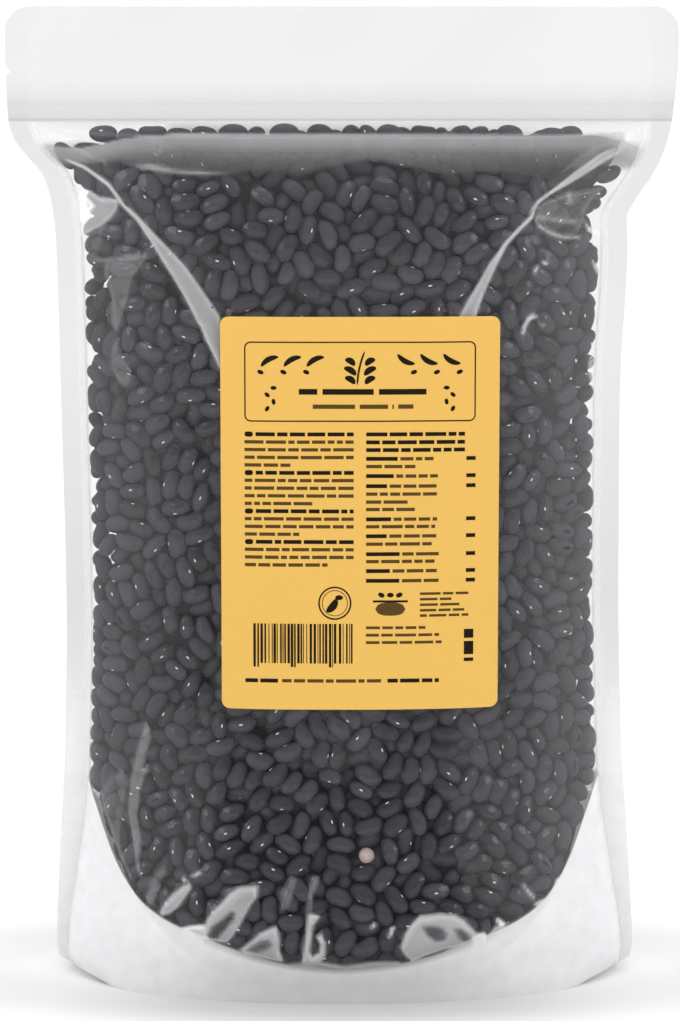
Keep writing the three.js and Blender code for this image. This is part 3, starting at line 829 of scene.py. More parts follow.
# Folds of the film: how milky each is, which is painted highlight where its facets catch the
# light, how far it stands out, and its outline in X and Z
FRONT_FOLDS = [
    (0.035, 0.0, [(44.3, 110.4), (94, 104.6), (97.2, 74.4), (90.2, 53.2), (76.2, 36.5),
                 (60.5, 33.9), (48.9, 37.4), (44, 46.9), (42.1, 76.9)]),
    (0.030, 0.0, [(-93.3, 114.3), (-47.1, 110.3), (-45.7, 76.7), (-48.4, 50.4), (-58, 36.7),
                 (-73.6, 40.8), (-84.7, 56.3), (-92.8, 75.5)]),
    (0.030, 0.0, [(-7.5, 110.2), (-0.3, 110.3), (-0.7, 85.2), (-4.5, 84.4), (-6.7, 92.7)]),
    (0.026, 0.0, [(4.3, 110.3), (14.5, 110.2), (13.8, 85.1), (9.2, 81.4), (5.4, 85.9)]),
    (0.42, 1.4, [(-69.7, 30.7), (-69.7, 32.8), (-67.7, 36.5), (-65, 39.8), (-61.1, 43.2),
                 (-58, 44.9), (-57.6, 42.7), (-60.3, 39.1), (-62.6, 35.5), (-65.7, 32.6)]),
    (0.14, 0.8, [(-75.6, 38.1), (-73.6, 41.2), (-70.4, 43.4), (-69.3, 42.8), (-71.2, 38.8),
                 (-72.8, 34.6), (-74.8, 35.4)]),
    (0.10, 0.6, [(-74, 43), (-71.2, 47.5), (-68.5, 49.3), (-66.9, 48.3), (-69.6, 44.3),
                 (-72.8, 40.5)]),
    (0.70, 0.8, [(-62.7, 26.6), (-57.2, 28.5), (-51.8, 29.3), (-51, 25.2), (-47.2, 23.5),
                 (-53.4, 23.3), (-58, 24.8)]),
    (0.42, 2.0, [(-52.6, 27.7), (-51.4, 31.6), (-49.1, 35.1), (-45.7, 38.3), (-42.6, 42.1),
                 (-38.8, 44.6), (-31.9, 45.2), (-32.3, 41.1), (-34.9, 38), (-36.8, 34.2),
                 (-39.5, 29.6), (-41.8, 25.7), (-44.1, 22.9), (-47.6, 23), (-51.8, 24.7)]),
    (0.05, 0.6, [(-51.4, 25.5), (-49.5, 29.8), (-45.6, 32.7), (-42.2, 35.8), (-40.3, 35.6),
                 (-41.4, 32.2), (-44.5, 28.2), (-48, 24.2), (-50.7, 24)]),
    (0.42, 1.6, [(-38.8, 20.3), (-34.9, 23.8), (-31.1, 27.4), (-26.5, 29.8), (-25, 30.2),
                 (-23.9, 26.1), (-23.9, 21.5), (-22.4, 16.3), (-27.3, 17), (-33.1, 18.1),
                 (-37.7, 18.7)]),
    (0.10, 0.6, [(-36.1, 20.9), (-33, 23.9), (-30.3, 25.9), (-27.3, 25.6), (-26.1, 23.4),
                 (-28.8, 21.3), (-32.7, 19.8)]),
    (0.44, 1.5, [(-15.1, 16.5), (-13.6, 25.5), (-12.8, 34.9), (-11.3, 35.3), (-8.3, 34.2),
                 (-10.9, 30.8), (-11.7, 26.3), (-12.4, 21.3), (-11.3, 18.7), (-8.6, 20.5),
                 (-7.9, 23.7), (-9.4, 26.3), (-7.9, 28.2), (-6.4, 24.5), (-6.4, 19.2),
                 (-8.3, 16.1), (-12.8, 14.9)]),
    (0.14, 0.8, [(-12.8, 36), (-12.8, 41.2), (-11.7, 44.9), (-10.5, 48.6), (-9, 49), (-9.8, 45.6),
                 (-11.3, 41.2), (-11.7, 36.4)]),
    (0.10, 0.8, [(-23.1, 36.5), (-22.3, 42.1), (-20.4, 46.2), (-18.5, 49.2), (-17.4, 47.8),
                 (-18.9, 42.2), (-20.8, 37.3)]),
    (0.28, 0.6, [(-19.7, 15.5), (-8.3, 16.6), (1.6, 14.9), (11.5, 16.5), (22.2, 16.3), (23, 14.7),
                 (11.2, 13.3), (1.3, 11.8), (-6, 12.2), (-13.6, 14.1)]),
    (0.45, 2.0, [(22.6, 22.3), (24.1, 27.2), (26, 30.5), (29.8, 34.1), (37.4, 34.6), (43.2, 34),
                 (46.3, 31.9), (49.3, 28.7), (51.3, 26.4), (52.8, 25.1), (49.7, 22.9),
                 (45.1, 21.2), (39.8, 20.7), (32.1, 18.6), (26.8, 16.2), (24.1, 19.3)]),
    (0.06, 0.8, [(30.6, 30.8), (34.4, 31), (38.2, 30.1), (40.1, 27.8), (39.4, 25.1), (35.9, 24.9),
                 (32.9, 26.9)]),
    (0.08, 0.8, [(42.8, 29.5), (45.9, 29), (48.2, 26.9), (49.3, 24.2), (47.4, 23.1),
                 (44.7, 25.2)]),
    (0.75, 1.2, [(49.7, 24.9), (54.3, 26.1), (56.3, 23.8), (52.8, 22.1), (50.5, 21.1)]),
    (0.80, 1.0, [(59, 31.4), (60.5, 30.6), (62.9, 28.4), (60.9, 27)]),
    (0.36, 1.0, [(55.9, 24.7), (59, 28.4), (62.9, 27.5), (60.6, 25.3), (57.1, 23.7)]),
    (0.34, 1.2, [(68.7, 43.7), (70.2, 43.2), (74.2, 38.2), (73.8, 36.7), (71.8, 39.2)]),
    (0.50, 1.2, [(73.8, 35.4), (78.6, 36.8), (81.4, 39.4), (82.5, 43.5), (89, 46.5), (87.8, 43),
                 (83.4, 38.7), (79.4, 34.7), (76.3, 32.9)]),
    (0.45, 0.6, [(17.6, 26.2), (18.7, 29.9), (20.3, 30.3), (19.1, 26.9)]),
    (0.45, 0.6, [(10.8, 29.7), (12.3, 31.9), (13, 31.1), (11.9, 29.7)]),
    (0.40, 0.6, [(-61.1, 45.8), (-59.9, 47), (-59.1, 45.6), (-60.3, 44.7)]),
    (0.40, 0.6, [(-58, 47.2), (-54.9, 49.3), (-53.4, 49), (-55.7, 47.3)]),
    (0.16, 0.8, [(-75, 104.6), (-73.1, 99.7), (-74.7, 93), (-76.7, 86.7), (-73.5, 87),
                 (-75.9, 83.7), (-77.5, 78.2), (-78.7, 68.5), (-77.1, 60), (-77.9, 51.6),
                 (-76.7, 44.2), (-78.7, 47.7), (-80.3, 58.8), (-82.2, 69.9), (-81, 81.6),
                 (-79, 91.4), (-76.6, 99.4)]),
    (0.10, 0.8, [(-93.6, 75.3), (-88.6, 82.3), (-84.6, 85.7), (-82.2, 81.4), (-83.8, 73.5),
                 (-85.4, 61.8), (-84.7, 54.3), (-79.9, 44.4), (-80.7, 41.7), (-84.7, 50.5),
                 (-88.7, 60.4), (-91.5, 67.4)]),
    (0.42, 1.8, [(-98.6, 308.3), (-93.9, 306.3), (-90.8, 304.5), (-86.2, 304.3), (-83.5, 303.7),
                 (-84.3, 299.9), (-87, 296.5), (-90.1, 293.7), (-94.1, 291.6), (-96.6, 289.5),
                 (-99.2, 288.6), (-99, 294.4)]),
    (0.80, 0.6, [(-99, 306.8), (-95.9, 304.3), (-92.8, 301.1), (-95.6, 298.3), (-99, 294.8)]),
    (0.10, 0.8, [(-98.7, 289.1), (-94.1, 291.6), (-89.4, 293.7), (-90.2, 288.4), (-92.2, 282.7),
                 (-93.1, 280), (-97.6, 279.4)]),
    (0.17, 0.6, [(-93.1, 281.1), (-83.3, 282.4), (-73, 283.8), (-73, 282.3), (-83.3, 280.9),
                 (-92.7, 280)]),
    (0.13, 1.6, [(-89.1, 280.2), (-83.3, 280.9), (-73.4, 282), (-74.5, 280.1), (-78, 275.8),
                 (-79.6, 272), (-80.4, 267.8), (-82, 262.5), (-83.2, 258.6), (-84.8, 253.6),
                 (-86.3, 254.3), (-86.7, 259.2), (-86.6, 266), (-88.1, 271.6), (-89.6, 275.3)]),
    (0.12, 1.2, [(-86, 250.9), (-84, 251), (-83.3, 246.5), (-81.4, 242.8), (-79.1, 238.4),
                 (-81.5, 232.9), (-84.6, 235.8), (-87.7, 241.3), (-86.8, 247)]),
    (0.13, 1.4, [(73.1, 301.7), (77.2, 303.8), (81.8, 305.6), (87.5, 307.3), (94, 308.3),
                 (98.6, 309.2), (97.1, 306.3), (93.3, 302.2), (91.5, 298.5), (91.6, 295.1),
                 (89.6, 292.6), (87.7, 290.8), (85, 289.8), (80.4, 290.3), (76.5, 292.7),
                 (73.9, 296.4)]),
    (0.22, 0.8, [(72.7, 298.7), (80.3, 297), (88.4, 296), (88, 294.9), (80.3, 295.9),
                 (72.7, 297.2)]),
    (0.30, 0.8, [(72.3, 299.5), (73.9, 295), (78.1, 292.3), (83.8, 290.2), (90.4, 289.9),
                 (89.6, 288.8), (82.7, 289.1), (76.9, 291.2), (73.1, 293.9)]),
    (0.05, 0.4, [(76.5, 295.6), (81.9, 294.7), (87.3, 293.8), (88.5, 291.5), (83.8, 291),
                 (78.8, 293)]),
    (0.24, 0.6, [(84, 306.7), (85.6, 306.6), (86.4, 302.1), (84.9, 302.2)]),
    (0.50, 0.8, [(91.6, 295.1), (93.5, 292.7), (97.6, 290.4), (96, 289.5), (92.8, 291.3)]),
    (0.40, 1.0, [(94.1, 280.3), (95.7, 279.7), (97.8, 276.4), (99.7, 271.8), (97.9, 273.3),
                 (95.7, 276.7)]),
    (0.42, 0.8, [(67.4, 253.9), (68.1, 257.3), (70, 259.9), (71.5, 259.9), (69.6, 256.9),
                 (68.5, 253.5)]),
    (0.60, 0.6, [(69.2, 260.3), (72.2, 261.3), (73.4, 260.2), (70, 259.5)]),
    (0.40, 0.6, [(74.6, 257.9), (76.5, 257.4), (76.1, 256.7), (74.6, 257.1)]),
    (0.45, 0.6, [(74.7, 280.8), (76.6, 281.1), (77.8, 280), (75.9, 279.6)]),
    (0.40, 0.6, [(71.7, 276.8), (72.8, 279.4), (74, 279.3), (72.9, 276.4)]),
    (0.30, 0.6, [(-70.7, 319.9), (-68.9, 322.1), (-67.8, 323.5), (-67.4, 322.1), (-69.2, 319.9)]),
    (0.26, 0.8, [(-79.3, 316.6), (-71.8, 317), (-62.4, 315.3), (-53, 314.6), (-38, 314.3),
                 (-53, 313.6), (-66.1, 314.2), (-75.6, 315.6)]),
    (0.30, 1.0, [(93.5, 242.5), (96, 243.6), (98.2, 240), (98.7, 231.9), (97.7, 226.1),
                 (95.4, 231.4), (93.6, 237.1)]),
]
BACK_FOLDS = [
    (0.32, 1.6, [(-68, 31), (-60, 44), (-54, 46), (-60, 36), (-64, 29)]),
    (0.34, 1.8, [(-42, 21), (-38, 34), (-30, 41), (-31, 30), (-36, 21)]),
    (0.30, 1.4, [(-12, 16), (-17, 30), (-14, 41), (-10, 28), (-7, 17)]),
    (0.34, 1.6, [(16, 17), (20, 33), (27, 44), (27, 30), (22, 17)]),
    (0.32, 1.6, [(48, 22), (44, 34), (37, 43), (38, 31), (43, 21)]),
    (0.32, 1.5, [(72, 33), (66, 44), (58, 50), (62, 39), (67, 32)]),
    (0.14, 1.4, [(-92, 270), (-84, 262), (-80, 236), (-86, 226), (-92, 246)]),
    (0.14, 1.4, [(92, 276), (84, 262), (82, 240), (88, 228), (93, 250)]),
    (0.20, 0.0, [(-101, 322), (-84, 306), (-62, 276), (-56, 258), (-66, 272), (-88, 302)]),
    (0.20, 0.0, [(101, 321), (82, 304), (62, 280), (54, 256), (66, 278), (86, 300)]),
]
# A fold's edge fades over this distance, and its height rises over the run. A veil, which has no
# height, fades over a wider one. A fold's painted highlight is brighter on its rim than inside it
FOLD_EDGE = 0.95
FOLD_RUN = 3.0
VEIL_EDGE = 5.0
FOLD_INSIDE = 0.78
FOLD_RIM_HIGHLIGHT = 0.4
FOLD_RIM_PLACE = 0.4
RIM_HALF = 0.9
# How far outside and inside its edges the wall of a long crease fades
WALL_OUTSIDE = 1.1
WALL_INSIDE = 0.6
# Where a fold or crease draws the film taut, it keeps this far off its own shape and sinks this
# far into the drape at most
TAUT_LIFT = 0.15
TAUT_SINK = 0.4


def inside_outline(outline, x, z):
    """Signed distance to an outline: above 0 inside it."""
    signed, _ = along_line(outline + outline[:1], x, z)
    inside = np.zeros(np.shape(x), bool)
    for (ax, az), (bx, bz) in zip(outline, outline[1:] + outline[:1]):
        crossing = (az > z) != (bz > z)
        at = ax + (z - az) * (bx - ax) / (bz - az) if bz != az else ax
        inside ^= crossing & (x < at)
    return np.where(inside, np.abs(signed), -np.abs(signed))


def fold_relief(x, z, folds):
    """How milky the film's folds look, which is painted highlight, and their height at each place;
    later folds lie over earlier ones.
    """
    haze_and_highlight = np.zeros(np.shape(x))
    height = np.zeros(np.shape(x))
    cover = np.zeros(np.shape(x))
    for whitening, rise, outline in folds:
        edge = FOLD_EDGE if rise else VEIL_EDGE
        low, high = np.min(outline, 0) - edge - 1, np.max(outline, 0) + edge + 1
        near = (x > low[0]) & (x < high[0]) & (z > low[1]) & (z < high[1])
        inner = inside_outline(outline, x[near], z[near])
        share = smooth_step(-edge, edge, inner)
        tent = rise * smooth_step(-FOLD_EDGE, FOLD_RUN, inner)
        rim = FOLD_RIM_HIGHLIGHT * np.exp(-((inner - FOLD_RIM_PLACE) / RIM_HALF) ** 2) if rise else 0
        # A fold's milkiness is painted highlight, brighter on its rim
        haze_and_highlight[near] = mix(haze_and_highlight[near], whitening * (FOLD_INSIDE + rim), share)
        height[near] = np.maximum(height[near], tent)
        cover[near] = np.maximum(cover[near], share * (rise > 0))
    return haze_and_highlight, height, cover


def crease_band(x, z):
    """1 on the flat walls of the two long creases, falling to 0 round them, and their rims."""
    band = np.zeros(np.shape(x))
    rim = np.zeros(np.shape(x))
    for lower, along, broad in crease_walls(x, z):
        wall = smooth_step(-WALL_OUTSIDE, WALL_INSIDE, lower)
        wall = wall * (1 - smooth_step(-WALL_INSIDE, WALL_OUTSIDE, lower - broad))
        band = np.maximum(band, wall * smooth_step(0, 0.05, along))
        edges = np.exp(-(lower / RIM_HALF) ** 2) + np.exp(-((lower - broad) / RIM_HALF) ** 2)
        rim = np.maximum(rim, wall * edges)
    return band, rim


# How milky the film looks, from 0 to 1: painted highlight on the long creases and their rims, the
# milky skirt and low in its middle, and on the skins inside the foot
CREASE_HIGHLIGHT = 0.32
CREASE_RIM_HIGHLIGHT = 0.16
SKIRT_HAZE = 0.7
SKIRT_LOW_HAZE = 0.44
SKIRT_MIDDLE = (20, 90)
SKIRT_LOW = (2, 28)
INNER_HAZE = 0.02
# The same for the plain film, where it is painted reflection: low and high up in its middle, and
# toward its left and right
MIDDLE_REFLECTION = (0.004, 0.02)
MIDDLE_REFLECTION_HEIGHTS = (120, 300)
LEFT_REFLECTION = 0.044
RIGHT_REFLECTION = 0.066
SIDE_REFLECTION_PLACES = (48, 96)
# Thin whitened lines along the gusset's weld, in its middle and at its ends, and along the seams
WELD_LINE_WHITE = (0.3, 0.7)
WELD_LINE_PLACES = (30, 75)
SEAM_LINE_WHITE = 0.35
WELD_LINE_HALF = 0.6
# The share of light that the film lets through, and what the header and its two lines take off it
CLEAR_BODY = 0.95
HEADER_GREY = 0.02
LOW_HEADER_GREY = 0.085
LOW_HEADER = (1, 18)
HEADER_LINE_GREYS = (0.10, 0.03)
HEADER_FADE = 0.5
# How clear the side seals are at heights up the bag
CLEAR_SIDES = [(ARC_HIGH, 0.92), (120, 0.83), (150, 0.815), (200, 0.85), (250, 0.89)]
CLEAR_SKIRT = 0.96
# In the grey band the film lets through only this share, darkening the beans behind it under the
# band's painted reflection
CLEAR_BAND = 0.5
LOW_SIDES_TOP = 130
# The upper edge of the grey band under the header, in X and Z, and its milkiness below that edge,
# which is painted reflection of the light above
BAND_EDGE = [(-110, 323.4), (-98, 322.8), (-91, 324.3), (-83.5, 326), (-76, 327.1),
             (-68, 327.5), (-60, 328.6), (-40, 327.9), (98, 327.7), (106, 325.5), (112, 322)]
BAND_REFLECTION = [(-12, 0.07), (-9, 0.10), (-6.5, 0.145), (-4, 0.235), (-1.5, 0.285), (0, 0.31)]
BAND_FOOT_FADE = 1.5
BAND_HEAD_FADE = 0.5


def band_edge(x):
    """Height of the upper edge of the grey band."""
    return np.interp(x, *zip(*BAND_EDGE))


def in_top_band(x, z):
    """1 in the grey band where the film stands off the beans, under the header."""
    above_foot = smooth_step(-BAND_FOOT_FADE, BAND_FOOT_FADE, z - top_band(x))
    return above_foot * (1 - smooth_step(-BAND_HEAD_FADE, BAND_HEAD_FADE, z - band_edge(x)))


def film_haze_and_highlight(x, z, front):
    """How milky the film looks: painted highlight on its folds and creases, painted reflection on
    the top band and the sides, a milky skirt, and white lines along the welds.
    """
    folds, _, _ = fold_relief(x, z, FRONT_FOLDS if front else BACK_FOLDS)
    above = z - weld_height(x)
    from_seam = seam(x, z) - np.abs(x)
    band, rim = crease_band(x, z)
    # The milkiness on the creases and their rims is painted highlight
    creases = (CREASE_HIGHLIGHT * band + CREASE_RIM_HIGHLIGHT * rim) * (above > 0) * front
    # The grey band is painted reflection of the light above
    top = in_top_band(x, z) * np.interp(z - band_edge(x), *zip(*BAND_REFLECTION))
    middle = mix(*MIDDLE_REFLECTION, smooth_step(*MIDDLE_REFLECTION_HEIGHTS, z))
    # Painted reflection, brighter toward the left and right
    sides = np.where(x > 0, RIGHT_REFLECTION, LEFT_REFLECTION)
    body = mix(middle, sides, smooth_step(*SIDE_REFLECTION_PLACES, np.abs(x)))
    weld_line = mix(*WELD_LINE_WHITE, smooth_step(*WELD_LINE_PLACES, np.abs(x)))
    weld_line = weld_line * np.exp(-(above / WELD_LINE_HALF) ** 2)
    seam_line = SEAM_LINE_WHITE * np.exp(-(from_seam / WELD_LINE_HALF) ** 2) * (z < SEAL_LINE)
    inside = np.maximum.reduce([folds, creases, top, weld_line, body])
    in_bag = smooth_step(-0.3, 0.3, from_seam)
    low_sides = 1 - smooth_step(ARC_HIGH, LOW_SIDES_TOP, z)
    low_middle = (1 - smooth_step(*SKIRT_MIDDLE, np.abs(x))) * (1 - smooth_step(*SKIRT_LOW, z))
    whitening = mix(SKIRT_HAZE, SKIRT_LOW_HAZE, low_middle)
    skirt = whitening * mix(low_sides, 1 - smooth_step(-1.2, 0, above), in_bag)
    return np.maximum.reduce([inside * in_bag, seam_line, skirt])


def film_depths(beans):
    """Half depths of the finished front and back film at each point of the film's grid."""
    depths = []
    for front, folds in ((True, FRONT_FOLDS), (False, BACK_FOLDS)):
        x, z, _ = outer_sheet_places() if front else back_sheet_places()
        loose = smooth_step(0, 4, seam(x, z) - np.abs(x)) * smooth_step(0, 3, z - weld_height(x))
        drape = read_drape(draped_depth(beans, front), x, z)
        envelope = bag_depth(x, z, front)
        wanted = np.maximum(np.where(loose > 0, drape, envelope), FILM_HALF)
        _, fold, taut = fold_relief(x, z, folds)
        if front:
            taut = np.maximum(taut, crease_band(x, z)[0])
        smooth = np.maximum(envelope + fold + TAUT_LIFT, wanted - TAUT_SINK)
        depths.append(mix(wanted, smooth, taut * loose))
    return depths


def paint_film(mesh):
    """Gives the film's points their share of light let through, and how milky they look, with the
    painted highlights and reflections.
    """
    x, _, z = np.array([vert.co[:] for vert in mesh.vertices]).T / MM
    front_rows, columns = outer_sheet_places()[0].shape
    back_rows = len(back_sheet_places()[0])
    row = np.arange(len(x)) // columns
    inner = (row >= front_rows) & (row < len(x) // columns - back_rows)
    sides = smooth_step(-0.8, 0.8, np.abs(x) - seam(x, z)) * (z < SEAL_LINE)
    skirt = 1 - smooth_step(-1.2, 0.4, z - weld_height(x))
    header = smooth_step(SEAL_LINE - HEADER_FADE, SEAL_LINE + HEADER_FADE, z)
    low_header = header * (1 - smooth_step(*LOW_HEADER, z - SEAL_LINE))
    clear = CLEAR_BODY - HEADER_GREY * header - LOW_HEADER_GREY * low_header
    for line, grey in zip(HEADER_LINES, HEADER_LINE_GREYS):
        clear = clear - grey * np.exp(-((z - line) / HEADER_FADE) ** 2)
    clear = mix(clear, CLEAR_BAND, in_top_band(x, z) * (1 - header))
    clear = mix(mix(clear, np.interp(z, *zip(*CLEAR_SIDES)), sides), CLEAR_SKIRT, skirt)
    clear = np.where(inner, CLEAR_SKIRT, clear)
    # The milky share also carries painted highlights on folds and creases and painted reflections
    # on the band and sides
    haze_and_highlight = np.where(row < front_rows, film_haze_and_highlight(x, z, True), film_haze_and_highlight(x, z, False))
    haze_and_highlight = np.where(inner, INNER_HAZE, haze_and_highlight)
    for name, value in {"clear": clear, "haze_and_highlight": haze_and_highlight}.items():
        layer = mesh.attributes.new(name, "FLOAT", "POINT")
        layer.data.foreach_set("value", value.astype(np.float32))


# The dark inside of the heap, a sheet for the deeper beans that is painted shade among them: its
# grid, how far below the film and inside the seams it stays, low and high up, and the half widths
# of its lower and upper edge
CORE_COLUMNS = 41
CORE_ROWS = 40
CORE_DEPTH = 8.5
CORE_SIDE_GAPS = (11, 8)
CORE_SIDE_HEIGHTS = (300, 322)
CORE_FOOT_HALF = 88
CORE_TOP_HALF = 106
CORE_TOP_GAP = 0.8
CORE_LEAST = 0.6
CORE_ROUNDNESS = 6


def core_mesh():
    """The dark inside of the heap, some way below the film, so no light shows through: one sheet,
    darker than the beans, that stands for the deeper beans and paints the shade among them.
    """
    place = np.linspace(-1, 1, CORE_COLUMNS)
    foot = place * CORE_FOOT_HALF
    low = gusset_height(foot, 0 * foot) + CORE_DEPTH
    high = band_edge(place * CORE_TOP_HALF) - CORE_TOP_GAP
    z = mix(low, high, np.linspace(1, 0, CORE_ROWS)[:, None])
    gap = mix(*CORE_SIDE_GAPS, smooth_step(*CORE_SIDE_HEIGHTS, z))
    x = place * (seam(place, z) - gap)
    rounded = np.sqrt(np.clip(1 - np.abs(place) ** CORE_ROUNDNESS, 0.02, 1))
    front = np.maximum(bag_depth(x, z, True) - CORE_DEPTH, CORE_LEAST) * rounded
    grids = [np.dstack([x, -front, z]), np.dstack([x, front, z])[::-1]]
    return lattice_mesh("heap_shade_core", grids, [facing_rows(CORE_ROWS)])


# The label's grid, and two faint waves of its stuck paper: height, lengths on X and Z, and turn
LABEL_COLUMNS = 48
LABEL_ROWS = 60
LABEL_CORNER_ROWS = 6
PAPER_WAVES = [(0.1, 6.1, 9.0, 0), (0.08, 11.0, -7.3, 1)]

# The label's print, in millimetres from the upper left corner of a label of the print's height
PRINT_HEIGHT = 148
FRAME_BOX = (9.0, 9.2, 96.0, 39.2)
FRAME_LINE = 0.5
FRAME_RADIUS = 2.4
TITLE_ROW = (26.9, 29.0)
TITLE_BARS = [(29.5, 36.4), (38.4, 57.6), (59.6, 77.4)]
SUBTITLE_ROW = (32.7, 34.3)
SUBTITLE_BARS = [(34.7, 50.6), (52.4, 63.0), (64.6, 65.2), (66.8, 72.5)]
SPRIG_MIDDLE = 52.5
# The sprig's stem (its middle, length and width), and its leaves' lengths from the foot up
STEM = (19.0, 13.0, 0.7)
SPRIG_LEAVES = (4.6, 5.4, 4.4)
LEAF_WIDTH = 2.3
LEAF_OUT = 3.6
LEAF_ROW = 23.4
LEAF_STEP = 3.4
# On each side: pods with a seed under each (height, length and width), and loose beans
PODS = 3
POD = (16.2, 7.6, 2.0)
POD_OUT = 17
POD_STEP = 8.6
POD_SEED = (20.6, 2.5, 1.5)
SEED_OUT = 3.2
LOOSE_BEANS = 4
LOOSE_SIZE = (2.3, 1.4)
LOOSE_OUT = 32.5
LOOSE_SHIFT = 2.4
LOOSE_ROW = 26.5
LOOSE_STEP = 2.6
# Word lengths, the gap between words, and the room at the end of a row that stays bare, or that
# the last word takes up too
WORD_LENGTHS = (2.2, 8.0)
WORD_GAP = 0.9
ROW_END = 1.2
LAST_WORD = 1.8
TEXT_ROW = 1.25
BOLD_ROW = 1.45
# The dot before a bold row: its middle, length and width, and the room that it takes
ROW_DOT = (1.6, 3.2, 1.9)
DOT_ROOM = 4.2
# In the right column: how long the first bold words and the plain rows are, the room left bare
# before the short bar at a row's end, and the bar's ends, past the column
FIRST_WORDS = (7, 13)
PLAIN_ROWS = (14, 28)
END_ROOM = 6
END_BAR = (0.6, 4.1)
# The two columns of words: their left and right edges, their rows, and in the left one which rows
# stop short, at which share of the width, and which are bold
LEFT_COLUMN = (9.0, 50.1)
RIGHT_COLUMN = (54.8, 92.0)
LEFT_FIRST_ROW = 43.9
LEFT_ROW_STEP = 2.9
LEFT_ROWS = 18
LEFT_SHORT_ROWS = {4: 0.42, 9: 0.62, 13: 0.5, 17: 0.76}
LEFT_BOLD_ROWS = (0, 5, 10, 14)
RIGHT_HEADINGS = (43.9, 46.9, 49.8)
RIGHT_BOLD_ROWS = (53.1, 59.6, 63.4, 75.9, 82.3, 89.1, 95.5, 99.2)
RIGHT_ROWS = (56.0, 66.4, 69.4, 72.2, 78.7, 85.3, 91.9)
# Blocks of small print: the rows, their left edge, their least and most right edge, and height
SMALL_BLOCKS = [((104.2, 106.3, 108.4, 110.5, 112.5), 75.2, (84, 96), 0.95),
                ((117.0, 119.8, 122.6), 54.8, (76, 85), 1.05)]
FOOT_ROW = 137.1
FOOT_WORDS = [("dark", 9.0, 21.4), ("brown", 23.0, 60.5), ("dark", 63.0, 82.5)]
SIDE_BLOCKS = [(128.9, 130.2), (122.6, 127.6), (118.0, 121.4)]
SIDE_BLOCK_COLUMN = (92.0, 95.6)
# The block of upright bars: its box, the bars' widths and gaps, and how two in twelve hang lower
BAR_BLOCK = (12.1, 115.5, 49.8, 130.5)
BAR_WIDTHS = (0.3, 0.6, 0.9)
BAR_GAPS = (0.35, 0.6, 0.95)
BAR_GROUP = 12
LONG_BARS = 2
LONG_BAR_DROP = 1.4
# The ring with a pod and a bean in it, and the bowl with three beans over it
RING_PLACE = (43, 107.7)
RINGS = [(6.3, 0.6), (4.9, 0.25)]
RING_POD = (6.4, 2.8)
RING_BEAN = (3.0, 1.8)
BOWL = (64.0, 109.9, 11.4, 5.0)
BOWL_RIM = (57.4, 106.6, 70.6, 107.4)
BOWL_BEANS = 3
BOWL_BEAN = (104.6, 2.6, 1.7)
BOWL_BEAN_FIRST = 60.6
BOWL_BEAN_STEP = 3.4
# The most that a straight piece of print spans, and the points of its curves
STRAIGHT = 3
RING_POINTS = 40
BLOB_POINTS = 14
CORNER_POINTS = 6


def label_depth(x, z):
    """Half depth of the bag under the label, with the faint unevenness of stuck paper."""
    uneven = sum(high * np.sin(x / wide + z / tall + turn)
                 for high, wide, tall, turn in PAPER_WAVES)
    return bag_depth(x, z, False) + LABEL_LIFT + uneven


def label_points(flat, lift):
    """Puts points of the flat label onto the bag's front, lifted off the label's back."""
    u, v = np.array(flat, float).T
    x = LABEL_X - LABEL_WIDTH / 2 + u
    z = LABEL_HIGH - v
    return np.stack([x, -(label_depth(x, z) + lift), z], -1)


def label_mesh():
    """The paper label: a thin curved sheet with round corners, one closed skin."""
    tall = LABEL_HIGH - LABEL_LOW
    bend = LABEL_RADIUS * (1 - np.cos(np.linspace(0, math.pi / 2, LABEL_CORNER_ROWS)))
    straight = np.linspace(LABEL_RADIUS, tall - LABEL_RADIUS, LABEL_ROWS)
    rows = np.concatenate([bend[:-1], straight, tall - bend[::-1][1:]])
    short = LABEL_RADIUS - np.minimum(np.minimum(rows, tall - rows), LABEL_RADIUS)
    inset = LABEL_RADIUS - np.sqrt(LABEL_RADIUS ** 2 - short ** 2)
    across = np.linspace(0, 1, LABEL_COLUMNS)
    u = inset[:, None] + across * (LABEL_WIDTH - 2 * inset[:, None])
    v = np.broadcast_to(rows[:, None], u.shape)
    flat = np.stack([u.ravel(), v.ravel()], -1)
    front = label_points(flat, LABEL_THICK).reshape(*u.shape, 3)
    back = label_points(flat, 0).reshape(*u.shape, 3)
    return lattice_mesh("label_sheet", [front, back[::-1]], [facing_rows(len(rows))])


def bar(u0, v0, u1, v1):
    """A printed bar as two rows of points, close enough together to follow the bag."""
    count = max(2, math.ceil((u1 - u0) / STRAIGHT) + 1)
    u = np.linspace(u0, u1, count)
    return np.stack([u, np.full(count, v0)], -1), np.stack([u, np.full(count, v1)], -1), False


def ring(u, v, radius, line):
    """A printed ring, drawn inward from its radius by the width of its line."""
    t = np.linspace(0, 2 * math.pi, RING_POINTS, endpoint=False)
    around = np.stack([np.cos(t), np.sin(t)], -1)
    return (u, v) + around * radius, (u, v) + around * (radius - line), True


def blob(u, v, length, width, turn=0.0, bend=0.0, tip=2.0):
    """A printed solid oval, leaf or pod: long on its own axis, bent by an arc."""
    s = np.linspace(-1, 1, BLOB_POINTS)
    half = width / 2 * np.maximum(1 - np.abs(s) ** tip, 0.0) ** 0.5 + 0.02
    arc = bend * (s * s - 0.4)
    sides = []
    for side in (1, -1):
        a, b = s * length / 2, arc + side * half
        spun = (u + a * math.cos(turn) - b * math.sin(turn),
                v + a * math.sin(turn) + b * math.cos(turn))
        sides.append(np.stack(spun, -1))
    return sides[0], sides[1], False


